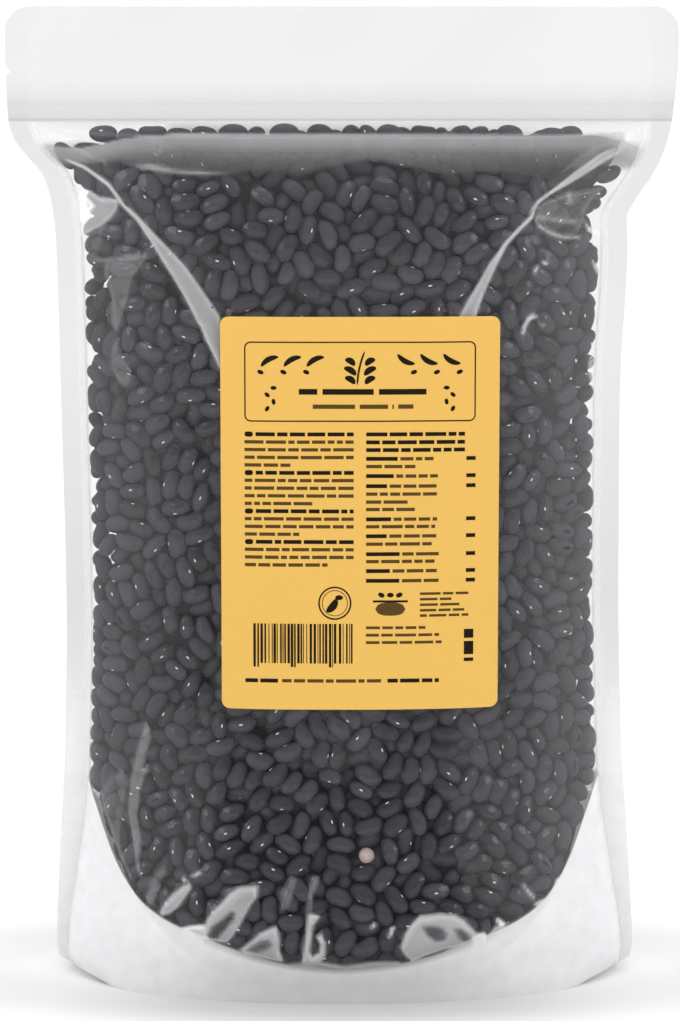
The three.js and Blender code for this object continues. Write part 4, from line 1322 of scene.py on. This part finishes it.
def words(u0, u1, v, tall, rng):
    """A line of print as a row of bars, one for each word."""
    made = []
    u = u0
    while u < u1 - ROW_END:
        end = min(u + rng.uniform(*WORD_LENGTHS), u1)
        if u1 - end < LAST_WORD:
            end = u1
        made.append(bar(u, v - tall / 2, end, v + tall / 2))
        u = end + WORD_GAP
    return made


def round_box(u0, v0, u1, v1, radius, line):
    """A printed frame with round corners, its straight sides cut to follow the bag."""
    loops = []
    for inset in (0, line):
        r = radius - inset
        corners = [(u1 - radius, v0 + radius, -90), (u1 - radius, v1 - radius, 0),
                   (u0 + radius, v1 - radius, 90), (u0 + radius, v0 + radius, 180)]
        points = []
        for cu, cv, start in corners:
            for angle in np.radians(start + np.linspace(0, 90, CORNER_POINTS)):
                points.append((cu + r * math.cos(angle), cv + r * math.sin(angle)))
        loop = []
        for (a, b), (c, d) in zip(points, points[1:] + points[:1]):
            cuts = max(1, round(math.hypot(c - a, d - b) / STRAIGHT))
            loop += [(mix(a, c, i / cuts), mix(b, d, i / cuts)) for i in range(cuts)]
        loops.append(np.array(loop))
    return loops[0], loops[1], True


def sprig_art():
    """A plain sprig between rows of pods and seeds, for the frame at the label's head."""
    art = [blob(SPRIG_MIDDLE, *STEM, turn=-1.35, bend=0.6, tip=6)]
    for side in (-1, 1):
        for step, reach in enumerate(SPRIG_LEAVES):
            u = SPRIG_MIDDLE + side * LEAF_OUT
            v = LEAF_ROW - LEAF_STEP * step
            art.append(blob(u, v, reach, LEAF_WIDTH, turn=-0.55 * side, bend=0.5))
        for step in range(PODS):
            u = SPRIG_MIDDLE + side * (POD_OUT + POD_STEP * step)
            art.append(blob(u, *POD, turn=0.5 * side, bend=-0.9 * side))
            art.append(blob(u + SEED_OUT * side, *POD_SEED, turn=-0.4 * side))
    for side in (-1, 1):
        for step in range(LOOSE_BEANS):
            u = SPRIG_MIDDLE + side * (LOOSE_OUT + LOOSE_SHIFT * (step % 2))
            art.append(blob(u, LOOSE_ROW + LOOSE_STEP * step, *LOOSE_SIZE, turn=0.7 * step))
    return art


def left_text(rng, art):
    """The left column of words: four times a bold row after a dot, with plain rows under it."""
    left, right = LEFT_COLUMN
    place, length, width = ROW_DOT
    for row in range(LEFT_ROWS):
        v = LEFT_FIRST_ROW + row * LEFT_ROW_STEP
        end = mix(left, right, LEFT_SHORT_ROWS.get(row, 1))
        if row in LEFT_BOLD_ROWS:
            art["dark"].append(blob(left + place, v, length, width, tip=4))
            art["dark"] += words(left + DOT_ROOM, end, v, BOLD_ROW, rng)
        else:
            art["brown"] += words(left, end, v, TEXT_ROW, rng)


def right_text(rng, art):
    """The right column of words: a heading, rows that end in a short bar, and plain rows."""
    left, right = RIGHT_COLUMN
    for v in RIGHT_HEADINGS:
        art["dark"] += words(left, right, v, BOLD_ROW, rng)
    for v in RIGHT_BOLD_ROWS:
        low, high = v - BOLD_ROW / 2, v + BOLD_ROW / 2
        first_end = left + rng.uniform(*FIRST_WORDS)
        art["dark"].append(bar(left, low, first_end, high))
        row_end = mix(first_end, right - END_ROOM, 0.8)
        art["brown"] += words(first_end + 1, row_end, v, TEXT_ROW, rng)
        art["dark"].append(bar(right + END_BAR[0], low, right + END_BAR[1], high))
    for v in RIGHT_ROWS:
        art["brown"] += words(left, left + rng.uniform(*PLAIN_ROWS), v, TEXT_ROW, rng)


def small_pictures(art):
    """The ring with a pod and a bean in it, and the bowl with beans over it."""
    u, v = RING_PLACE
    art["dark"] += [ring(u, v, radius, line) for radius, line in RINGS]
    art["dark"].append(blob(u - 0.9, v + 1.1, *RING_POD, turn=-0.9, bend=-0.5))
    art["dark"].append(blob(u + 1.6, v - 2.1, *RING_BEAN))
    for step in range(BOWL_BEANS):
        u = BOWL_BEAN_FIRST + BOWL_BEAN_STEP * step
        art["dark"].append(blob(u, *BOWL_BEAN, turn=0.4 - 0.4 * step))
    art["dark"].append(bar(*BOWL_RIM))
    art["brown"].append(blob(*BOWL, tip=2.6))


def upright_bars(rng):
    """A plain block of upright bars with random widths, which says nothing."""
    made = []
    u, top, right, foot = BAR_BLOCK
    while u < right:
        wide = rng.choice(BAR_WIDTHS)
        drop = LONG_BAR_DROP if len(made) % BAR_GROUP < LONG_BARS else 0
        made.append(bar(u, top, min(u + wide, right), foot + drop))
        u += wide + rng.choice(BAR_GAPS)
    return made


def label_art():
    """Everything printed on the label, by ink: bars for words, and plain shapes."""
    rng = np.random.default_rng(SEED + 2)
    art = {"dark": [round_box(*FRAME_BOX, FRAME_RADIUS, FRAME_LINE)] + sprig_art(), "brown": []}
    for ink, (low, high), bars in (("dark", TITLE_ROW, TITLE_BARS),
                                   ("brown", SUBTITLE_ROW, SUBTITLE_BARS)):
        art[ink] += [bar(u0, low, u1, high) for u0, u1 in bars]
    left_text(rng, art)
    right_text(rng, art)
    small_pictures(art)
    for rows, left, ends, tall in SMALL_BLOCKS:
        for v in rows:
            art["brown"] += words(left, mix(*ends, rng.uniform()), v, tall, rng)
    for ink, u0, u1 in FOOT_WORDS:
        art[ink] += words(u0, u1, FOOT_ROW, BOLD_ROW if ink == "dark" else TEXT_ROW, rng)
    art["dark"] += upright_bars(rng)
    left, right = SIDE_BLOCK_COLUMN
    art["dark"] += [bar(left, low, right, high) for low, high in SIDE_BLOCKS]
    return art


def print_mesh(name, shapes):
    """Thin raised print: flat strips over the label's front, drawn back into the paper."""
    bm = bmesh.new()
    stretch = (1, (LABEL_HIGH - LABEL_LOW) / PRINT_HEIGHT)
    for *sides, closed in shapes:
        one, two = ([bm.verts.new(place) for place in
                     label_points(side * stretch, LABEL_THICK + INK_THICK) * MM] for side in sides)
        for i in range(0 if closed else 1, len(one)):
            bm.faces.new([one[i - 1], one[i], two[i], two[i - 1]])
    drawn = bmesh.ops.extrude_face_region(bm, geom=bm.faces[:])["geom"]
    moved = [part for part in drawn if isinstance(part, bmesh.types.BMVert)]
    bmesh.ops.translate(bm, verts=moved, vec=(0, 2 * INK_THICK * MM, 0))
    bmesh.ops.recalc_face_normals(bm, faces=bm.faces)
    mesh = bpy.data.meshes.new(name)
    bm.to_mesh(mesh)
    bm.free()
    return mesh


# The film's white layer, which shows how milky it is and its painted highlights and reflections,
# the spread and middle of its streaks, and its mirror shine, face on and edge on
WHITENING_COLOUR = (0.93, 0.935, 0.95, 1)
STREAK_SPREAD = 0.24
STREAK_MIDDLE = 0.88
FILM_ROUGHNESS = 0.1
EDGE_GLOSS = 0.9
EDGE_POWER = 5.0
# The finishes: roughness, shine, shades, and waves a metre with their strength or depth in metres
BEAN_ROUGHNESS = 0.6
BEAN_SHINE = 0.2
BEAN_SHADES = (0.7, 1.0, 1.4)
MOTTLE_WAVES = 900
MOTTLE_SHARE = 0.25
SKIN_WAVES = 1600
SKIN_BUMP = (0.15, 0.0001)
FILM_WAVES = 420
FILM_BUMP = (0.06, 0.0003)
STREAK_WAVES = 160
PALE_FINISH = {"spread": 0.1, "roughness": 0.6, "scale": 900, "depth": 0.0001, "shine": 0.3}
EYE_FINISH = {"spread": 0.1, "roughness": 0.6, "scale": 2500, "depth": 0.00005}
CORE_SHADE_FINISH = {"spread": 0.5, "roughness": 0.9, "scale": 300, "depth": 0.002}
PAPER_FINISH = {"spread": 0.02, "roughness": 0.6, "scale": 1400, "depth": 0.00004}
INK_FINISH = {"spread": 0.15, "roughness": 0.6, "scale": 1800, "depth": 0.00003, "shine": 0.1}
CORE_SHADE_COLOUR = (0.008, 0.008, 0.010)
# A sheet's edge is drawn sharp where it turns by more than this, in degrees
HARD_ANGLE = 50


def new_material(name):
    """An empty node material with its output, replacing one of the same name."""
    old = bpy.data.materials.get(name)
    if old:
        bpy.data.materials.remove(old)
    material = bpy.data.materials.new(name)
    material.use_nodes = True
    tree = material.node_tree
    tree.nodes.clear()
    return material, tree, tree.nodes.new("ShaderNodeOutputMaterial")


def noise(tree, scale, detail=2.0):
    """Noise on the piece's own coordinates; scale is in waves a metre."""
    place = tree.nodes.new("ShaderNodeTexCoord")
    texture = tree.nodes.new("ShaderNodeTexNoise")
    texture.inputs["Scale"].default_value = scale
    texture.inputs["Detail"].default_value = detail
    tree.links.new(place.outputs["Object"], texture.inputs["Vector"])
    return texture.outputs["Fac"]


def bump(tree, height, strength, distance):
    """A shading normal with small bumps where height varies; distance is their depth in metres."""
    node = tree.nodes.new("ShaderNodeBump")
    node.inputs["Strength"].default_value = strength
    node.inputs["Distance"].default_value = distance
    tree.links.new(height, node.inputs["Height"])
    return node.outputs["Normal"]


def ramp(tree, value, stops):
    """Colours along a value: stops are (place, red, green, blue)."""
    node = tree.nodes.new("ShaderNodeValToRGB")
    elements = node.color_ramp.elements
    while len(elements) < len(stops):
        elements.new(0.5)
    for element, (place, *colour) in zip(elements, stops):
        element.position = place
        element.color = (*colour, 1)
    tree.links.new(value, node.inputs["Fac"])
    return node.outputs["Color"]


def attribute(tree, name):
    """A number that a mesh carries at each of its points."""
    node = tree.nodes.new("ShaderNodeAttribute")
    node.attribute_name = name
    return node.outputs["Fac"]


def math_node(tree, operation, *values):
    """One Math node; each value is a number or another node's output."""
    node = tree.nodes.new("ShaderNodeMath")
    node.operation = operation
    for socket, value in zip(node.inputs, values):
        if isinstance(value, (int, float)):
            socket.default_value = value
        else:
            tree.links.new(value, socket)
    return node.outputs["Value"]


def map_range(tree, value, low, high, start, end):
    """A value that goes smoothly from start to end while the given one goes from low to high."""
    node = tree.nodes.new("ShaderNodeMapRange")
    node.interpolation_type = "SMOOTHSTEP"
    for name, number in (("From Min", low), ("From Max", high), ("To Min", start),
                         ("To Max", end)):
        node.inputs[name].default_value = number
    tree.links.new(value, node.inputs["Value"])
    return node.outputs["Result"]


def mix_shader(tree, share, first, second):
    """Two shaders blended: share is how much of the second there is."""
    node = tree.nodes.new("ShaderNodeMixShader")
    tree.links.new(share, node.inputs["Fac"])
    tree.links.new(first, node.inputs[1])
    tree.links.new(second, node.inputs[2])
    return node.outputs["Shader"]


def film_material(gloss_share):
    """Clear glossy film: see-through, white with painted highlight on its folds and creases and
    painted reflection on its sides and top band, milky on its skirt, greyer where films are
    welded.

    The gloss is the same from both sides of the film, as on a real thin sheet.
    """
    material, tree, output = new_material("clear film")
    clear = tree.nodes.new("ShaderNodeBsdfTransparent")
    tree.links.new(attribute(tree, "clear"), clear.inputs["Color"])
    # The white diffuse layer shows the film's milkiness and its painted highlights and reflections
    whitening = tree.nodes.new("ShaderNodeBsdfDiffuse")
    whitening.inputs["Color"].default_value = WHITENING_COLOUR
    waves = noise(tree, STREAK_WAVES, 4)
    streaks = math_node(tree, "MULTIPLY_ADD", waves, STREAK_SPREAD, STREAK_MIDDLE)
    haze_and_highlight = math_node(tree, "MULTIPLY", attribute(tree, "haze_and_highlight"), streaks)
    body = mix_shader(tree, haze_and_highlight, clear.outputs["BSDF"], whitening.outputs["BSDF"])
    gloss = tree.nodes.new("ShaderNodeBsdfGlossy")
    gloss.inputs["Roughness"].default_value = FILM_ROUGHNESS
    normal = bump(tree, noise(tree, FILM_WAVES, 3), *FILM_BUMP)
    tree.links.new(normal, gloss.inputs["Normal"])
    facing = tree.nodes.new("ShaderNodeLayerWeight")
    steep = math_node(tree, "POWER", facing.outputs["Facing"], EDGE_POWER)
    share = math_node(tree, "MULTIPLY_ADD", steep, EDGE_GLOSS, gloss_share)
    both = mix_shader(tree, share, body, gloss.outputs["BSDF"])
    tree.links.new(both, output.inputs["Surface"])
    return material


def principled(tree, output, roughness, normal=None):
    """The material's main shader, joined to its output."""
    node = tree.nodes.new("ShaderNodeBsdfPrincipled")
    node.inputs["Roughness"].default_value = roughness
    if normal is not None:
        tree.links.new(normal, node.inputs["Normal"])
    tree.links.new(node.outputs["BSDF"], output.inputs["Surface"])
    return node


def shades(colour, *shares):
    """Darker and lighter shades of a colour, one for each share."""
    return [tuple(part * share for part in colour) for share in shares]


def bean_material(colour):
    """Near-black seed coat: a dull skin, each bean a little different, with a faint mottle."""
    material, tree, output = new_material("black bean")
    spots = noise(tree, MOTTLE_WAVES)
    blend = math_node(tree, "MULTIPLY_ADD", spots, MOTTLE_SHARE, attribute(tree, "tone"))
    dark, middle, light = shades(colour, *BEAN_SHADES)
    stops = [(0.1, *dark), (0.6, *middle), (1.0, *light)]
    grain = bump(tree, noise(tree, SKIN_WAVES), *SKIN_BUMP)
    node = principled(tree, output, BEAN_ROUGHNESS, grain)
    node.inputs["Specular IOR Level"].default_value = BEAN_SHINE
    tree.links.new(ramp(tree, blend, stops), node.inputs["Base Color"])
    return material


def speckled_material(name, colour, spread, roughness, scale, depth, shine=0.5):
    """A plain colour with fine variation and grain, such as paper, ink or a pale bean."""
    material, tree, output = new_material(name)
    grain = noise(tree, scale, 4)
    node = principled(tree, output, roughness, bump(tree, grain, 0.25, depth))
    node.inputs["Specular IOR Level"].default_value = shine
    dark, light = shades(colour, 1 - spread, 1 + spread)
    tree.links.new(ramp(tree, grain, [(0.3, *dark), (0.7, *light)]), node.inputs["Base Color"])
    return material


def place_piece(mesh, name, material, replaced=()):
    """Puts a finished mesh in the scene as a piece of the bag."""
    old = bpy.data.objects.get(name)
    if old:
        bpy.data.objects.remove(old)
    piece = bpy.data.objects.new(name, mesh)
    mesh.materials.append(material)
    bpy.context.scene.collection.objects.link(piece)
    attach(piece, "root")
    if replaced:
        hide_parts(*replaced)


def smooth_with_hard_edges(mesh):
    """Smooth shading, with sharp lines only where a sheet turns hard, at its cut edges."""
    mesh.shade_smooth()
    mesh.set_sharp_from_angle(angle=math.radians(HARD_ANGLE))


def split_quads(mesh):
    """Cuts each face with four corners along the diagonal whose ends are the most alike."""
    bm = bmesh.new()
    bm.from_mesh(mesh)
    haze_and_highlight = bm.verts.layers.float["haze_and_highlight"]
    first, second = [], []
    for face in bm.faces:
        if len(face.verts) == 4:
            a, b, c, d = (vert[haze_and_highlight] for vert in face.verts)
            (first if abs(a - c) <= abs(b - d) else second).append(face)
    bmesh.ops.triangulate(bm, faces=first, quad_method="FIXED")
    bmesh.ops.triangulate(bm, faces=second, quad_method="ALTERNATE")
    bm.to_mesh(mesh)
    bm.free()


def colour_setting(name, description, default):
    """A colour that the user can change."""
    return bpy.props.FloatVectorProperty(name=name, description=description, default=default,
                                         subtype="COLOR", min=0, max=1)


class BeanBagSettings(bpy.types.PropertyGroup):
    bean_count: bpy.props.IntProperty(
        name="Number of beans", description="How many beans are packed behind the film",
        default=3450, min=500, max=5000)
    deep_from: bpy.props.FloatProperty(
        name="Plain beans from", description="Beans deeper below the film than this are simpler",
        default=0.0058, unit="LENGTH", subtype="DISTANCE")
    film_gloss: bpy.props.FloatProperty(
        name="Film gloss", description="Share of light the film mirrors face on", default=0.028,
        min=0, max=1, subtype="FACTOR")
    bean_colour: colour_setting("Beans", "Colour of the beans", (0.032, 0.0313, 0.0405))
    pale_colour: colour_setting("Pale bean", "Colour of the one pale bean", (0.47, 0.36, 0.35))
    eye_colour: colour_setting("Eyes", "Colour of the beans' eyes", (0.8, 0.79, 0.76))
    label_colour: colour_setting("Label", "Colour of the paper label", (0.725, 0.432, 0.083))
    ink_colour: colour_setting("Bold print", "Colour of the bold print", (0.010, 0.006, 0.003))
    fine_ink_colour: colour_setting("Fine print", "Colour of the fine print",
                                    (0.085, 0.047, 0.012))
    light_power: bpy.props.FloatProperty(
        name="Light", description="Strength of the soft lights", default=1.0, min=0.0,
        subtype="FACTOR")
    camera_lens: bpy.props.FloatProperty(
        name="Lens", description="Focal length of the camera in millimetres", default=116.5,
        min=20.0, unit="CAMERA")


class BEANBAG_OT_beans(bpy.types.Operator):
    """Pack the beans behind the film, with their pale eyes"""
    bl_idname = "beanbag.beans"
    bl_label = "Make Beans"

    def execute(self, context):
        settings = context.scene.bean_bag
        beans = packed_beans(settings.bean_count)
        material = bean_material(settings.bean_colour)
        deep = beans["depth"] > settings.deep_from / MM
        dark = np.arange(len(deep)) != beans["pale"]
        for number, name in enumerate(beans["kinds"]):
            template = bean_template(BEAN_KINDS[name]["size"], *BEAN_STEPS)
            chosen = (beans["kind"] == number) & ~deep & dark
            place_piece(chosen_beans(name, template, beans, chosen), name, material)
        plain = bean_template(BEAN_KINDS["beans_plump"]["size"], *DEEP_STEPS)
        mesh = chosen_beans("beans_deep", plain, beans, deep)
        place_piece(mesh, "beans_deep", material)
        self.make_eyes(beans, settings.eye_colour, dark)
        self.make_pale_bean(beans, settings.pale_colour)
        return {"FINISHED"}

    def make_pale_bean(self, beans, colour):
        """The pale bean takes one bean's place, with its end toward the film."""
        at = beans["pale"]
        inward = beans["inward"][at]
        side = np.cross(inward, (0, 0, 1))
        side /= np.linalg.norm(side)
        turned = np.stack([inward, side, np.cross(inward, side)], -1)
        centre = beans["centres"][at] + inward * (PALE_SIZE[0] - PALE_SIZE[2]) / 2
        mesh = scatter_mesh("pale_bean", bean_template(PALE_SIZE, *PALE_STEPS), centre[None],
                            turned[None], np.zeros(1))
        material = speckled_material("pale bean", colour, **PALE_FINISH)
        place_piece(mesh, "pale_bean", material)

    def make_eyes(self, beans, colour, dark):
        """A pale eye on each bean of the top layer whose hollow side faces the film."""
        side = beans["frames"][:, :, 1]
        facing = (side * beans["inward"]).sum(1) > EYE_FACING
        showing = (beans["depth"] < TOP_LAYER) & facing & dark
        width = np.array([BEAN_KINDS[name]["size"][1] for name in beans["kinds"]])[beans["kind"]]
        out = width / 2 - BEAN_BEND / 3 - EYE_SINK
        eyes = {**beans, "centres": beans["centres"] - side * out[:, None]}
        mesh = chosen_beans("bean_eyes", eye_template(), eyes, showing)
        material = speckled_material("bean eye", colour, **EYE_FINISH)
        place_piece(mesh, "bean_eyes", material)


class BEANBAG_OT_core(bpy.types.Operator):
    """Make the dark inside of the heap, painted shade behind the beans that show"""
    bl_idname = "beanbag.core"
    bl_label = "Make Inside"

    def execute(self, context):
        mesh = core_mesh()
        mesh.shade_smooth()
        # The near-black colour is painted shade among the deeper beans
        dark = speckled_material("shaded heap inside", CORE_SHADE_COLOUR, **CORE_SHADE_FINISH)
        place_piece(mesh, "heap_shade_core", dark)
        return {"FINISHED"}


class BEANBAG_OT_film(bpy.types.Operator):
    """Draw the film over the beans: front, back, gusset, skirts and header in one skin"""
    bl_idname = "beanbag.film"
    bl_label = "Make Film"

    def execute(self, context):
        settings = context.scene.bean_bag
        front, back = film_depths(packed_beans(settings.bean_count))
        mesh = lattice_mesh("pouch_film", film_grids(front, back), film_caps())
        paint_film(mesh)
        split_quads(mesh)
        smooth_with_hard_edges(mesh)
        film = film_material(settings.film_gloss)
        place_piece(mesh, "pouch_film", film, ["pouch"])
        return {"FINISHED"}


class BEANBAG_OT_label(bpy.types.Operator):
    """Make the paper label and its plain printed shapes"""
    bl_idname = "beanbag.label"
    bl_label = "Make Label"

    def execute(self, context):
        settings = context.scene.bean_bag
        mesh = label_mesh()
        smooth_with_hard_edges(mesh)
        paper = speckled_material("amber paper", settings.label_colour, **PAPER_FINISH)
        place_piece(mesh, "label_sheet", paper, ["label"])
        inks = {"dark": settings.ink_colour, "brown": settings.fine_ink_colour}
        for ink, shapes in label_art().items():
            name = f"label_print_{ink}"
            material = speckled_material(f"{ink} ink", inks[ink], **INK_FINISH)
            place_piece(print_mesh(name, shapes), name, material)
        return {"FINISHED"}


# The camera and lights, in metres: place, aim, size, radiance
CAMERA_PLACE = (-0.00065, -1.25, 0.421)
CAMERA_AIM = (-0.00065, 0, 0.183)
SOFT_BOXES = {
    "key_left": ((-1.3, -1.7, 1.1), (0, 0, 0.2), (0.7, 1.0), 2.8),
    "key_right": ((1.3, -1.7, 1.1), (0, 0, 0.2), (0.7, 1.0), 2.8),
    "top": ((0, -0.9, 2.0), (0, 0, 0.25), (1.4, 0.7), 2.1),
}
# The studio's brightness by direction: dim in front, brighter at the sides, back and above
WORLD_FRONT = 0.3
# What each direction adds to that: the axis, where on it the light starts and is full, and how
# much it adds
WORLD_LIGHTS = [("X", 0.25, 0.8, 0.9), ("Y", -0.2, 0.4, 0.6), ("Z", 0.15, 0.8, 0.4)]
FLOOR_HALF = 20
# The painted soft grey shadow, an oval on the floor round the bag's foot: half axes in metres, and
# where it starts and ends, as shares
PAINTED_SHADOW_OVAL = (0.150, 0.050)
PAINTED_SHADOW_OUT = (1.05, 1.6)
PAINTED_SHADOW_IN = (0.6, 0.95)
PAINTED_SHADOW_GREY = 0.56
# The painted shadow's grey falls to this share of itself between these shares of the oval's half
# width
PAINTED_SHADOW_SIDES = (0.3, 0.8)
PAINTED_SHADOW_SIDE_SHARE = 0.5
FLOOR_WHITE = 0.85
FLOOR_ROUGHNESS = 0.9


def aim_at(thing, place, target):
    """Puts a camera or light at a place and turns it toward its target."""
    thing.location = place
    thing.rotation_euler = (Vector(target) - Vector(place)).to_track_quat("-Z", "Y").to_euler()


class BEANBAG_OT_stage(bpy.types.Operator):
    """Set the pale floor, the camera and the soft studio lights"""
    bl_idname = "beanbag.stage"
    bl_label = "Set Stage"

    def execute(self, context):
        scene = context.scene
        self.make_floor(scene)
        self.make_camera(scene)
        for name, box in SOFT_BOXES.items():
            self.make_soft_box(scene, name, *box)
        self.make_world(scene)
        scene.view_settings.view_transform = "Standard"
        return {"FINISHED"}

    def make_camera(self, scene):
        data = bpy.data.cameras.new("camera")
        data.lens = scene.bean_bag.camera_lens
        camera = bpy.data.objects.new("camera", data)
        aim_at(camera, CAMERA_PLACE, CAMERA_AIM)
        scene.collection.objects.link(camera)
        scene.camera = camera

    def make_soft_box(self, scene, name, place, target, size, radiance):
        light = bpy.data.lights.new(name, "AREA")
        light.shape = "RECTANGLE"
        light.size, light.size_y = size
        power = radiance * math.pi * size[0] * size[1]
        light.energy = power * scene.bean_bag.light_power
        lamp = bpy.data.objects.new(name, light)
        aim_at(lamp, place, target)
        scene.collection.objects.link(lamp)

    def make_world(self, scene):
        """Smooth studio light that depends only on the direction it comes from."""
        world = bpy.data.worlds.new("studio")
        world.use_nodes = True
        scene.world = world
        tree = world.node_tree
        place = tree.nodes.new("ShaderNodeTexCoord")
        split = tree.nodes.new("ShaderNodeSeparateXYZ")
        tree.links.new(place.outputs["Generated"], split.inputs[0])
        strength = WORLD_FRONT
        for axis, low, high, gain in WORLD_LIGHTS:
            value = split.outputs[axis]
            if axis == "X":
                value = math_node(tree, "ABSOLUTE", value)
            share = map_range(tree, value, low, high, 0, 1)
            strength = math_node(tree, "MULTIPLY_ADD", share, gain, strength)
        tree.links.new(strength, tree.nodes["Background"].inputs["Strength"])
        tree.nodes["Background"].inputs["Color"].default_value = (1, 1, 1, 1)

    def make_floor(self, scene):
        bm = bmesh.new()
        bmesh.ops.create_grid(bm, x_segments=8, y_segments=8, size=FLOOR_HALF)
        mesh = bpy.data.meshes.new("floor")
        bm.to_mesh(mesh)
        bm.free()
        floor = bpy.data.objects.new("floor", mesh)
        mesh.materials.append(self.floor_material())
        scene.collection.objects.link(floor)

    def floor_material(self):
        """White floor with a painted soft grey shadow round the foot."""
        material, tree, output = new_material("floor")
        place = tree.nodes.new("ShaderNodeTexCoord")
        scaled = tree.nodes.new("ShaderNodeVectorMath")
        scaled.operation = "MULTIPLY"
        scaled.inputs[1].default_value = (1 / PAINTED_SHADOW_OVAL[0], 1 / PAINTED_SHADOW_OVAL[1], 0)
        tree.links.new(place.outputs["Object"], scaled.inputs[0])
        length = tree.nodes.new("ShaderNodeVectorMath")
        length.operation = "LENGTH"
        tree.links.new(scaled.outputs["Vector"], length.inputs[0])
        split = tree.nodes.new("ShaderNodeSeparateXYZ")
        tree.links.new(scaled.outputs["Vector"], split.inputs[0])
        outward = map_range(tree, length.outputs["Value"], *PAINTED_SHADOW_OUT, 1, 0)
        inward = map_range(tree, length.outputs["Value"], *PAINTED_SHADOW_IN, 0, 1)
        sideways = math_node(tree, "ABSOLUTE", split.outputs["X"])
        along = map_range(tree, sideways, *PAINTED_SHADOW_SIDES, 1, PAINTED_SHADOW_SIDE_SHARE)
        share = math_node(tree, "MULTIPLY", math_node(tree, "MULTIPLY", outward, inward), along)
        node = principled(tree, output, FLOOR_ROUGHNESS)
        # The grey oval is a painted shadow round the bag's foot, laid into the floor's colour
        stops = [(0, *[FLOOR_WHITE] * 3), (1, *[PAINTED_SHADOW_GREY] * 3)]
        tree.links.new(ramp(tree, share, stops), node.inputs["Base Color"])
        return material


class BEANBAG_PT_panel(bpy.types.Panel):
    bl_idname = "BEANBAG_PT_panel"
    bl_label = "Bag of Dried Beans"
    bl_space_type = "VIEW_3D"
    bl_region_type = "UI"
    bl_category = "Bean Bag"

    def draw(self, context):
        column = self.layout.column()
        settings = context.scene.bean_bag
        for name in BeanBagSettings.__annotations__:
            column.prop(settings, name)
        for operator in OPERATORS:
            column.operator(operator.bl_idname)


OPERATORS = (BEANBAG_OT_beans, BEANBAG_OT_core, BEANBAG_OT_film, BEANBAG_OT_label,
             BEANBAG_OT_stage)


def register():
    bpy.utils.register_class(BeanBagSettings)
    bpy.types.Scene.bean_bag = bpy.props.PointerProperty(type=BeanBagSettings)
    for operator in OPERATORS:
        bpy.utils.register_class(operator)
    bpy.utils.register_class(BEANBAG_PT_panel)


def unregister():
    bpy.utils.unregister_class(BEANBAG_PT_panel)
    for operator in reversed(OPERATORS):
        bpy.utils.unregister_class(operator)
    del bpy.types.Scene.bean_bag
    bpy.utils.unregister_class(BeanBagSettings)


def main():
    register()
    bpy.ops.beanbag.beans()
    bpy.ops.beanbag.core()
    bpy.ops.beanbag.film()
    bpy.ops.beanbag.label()
    bpy.ops.beanbag.stage()


if __name__ == "__main__":
    main()
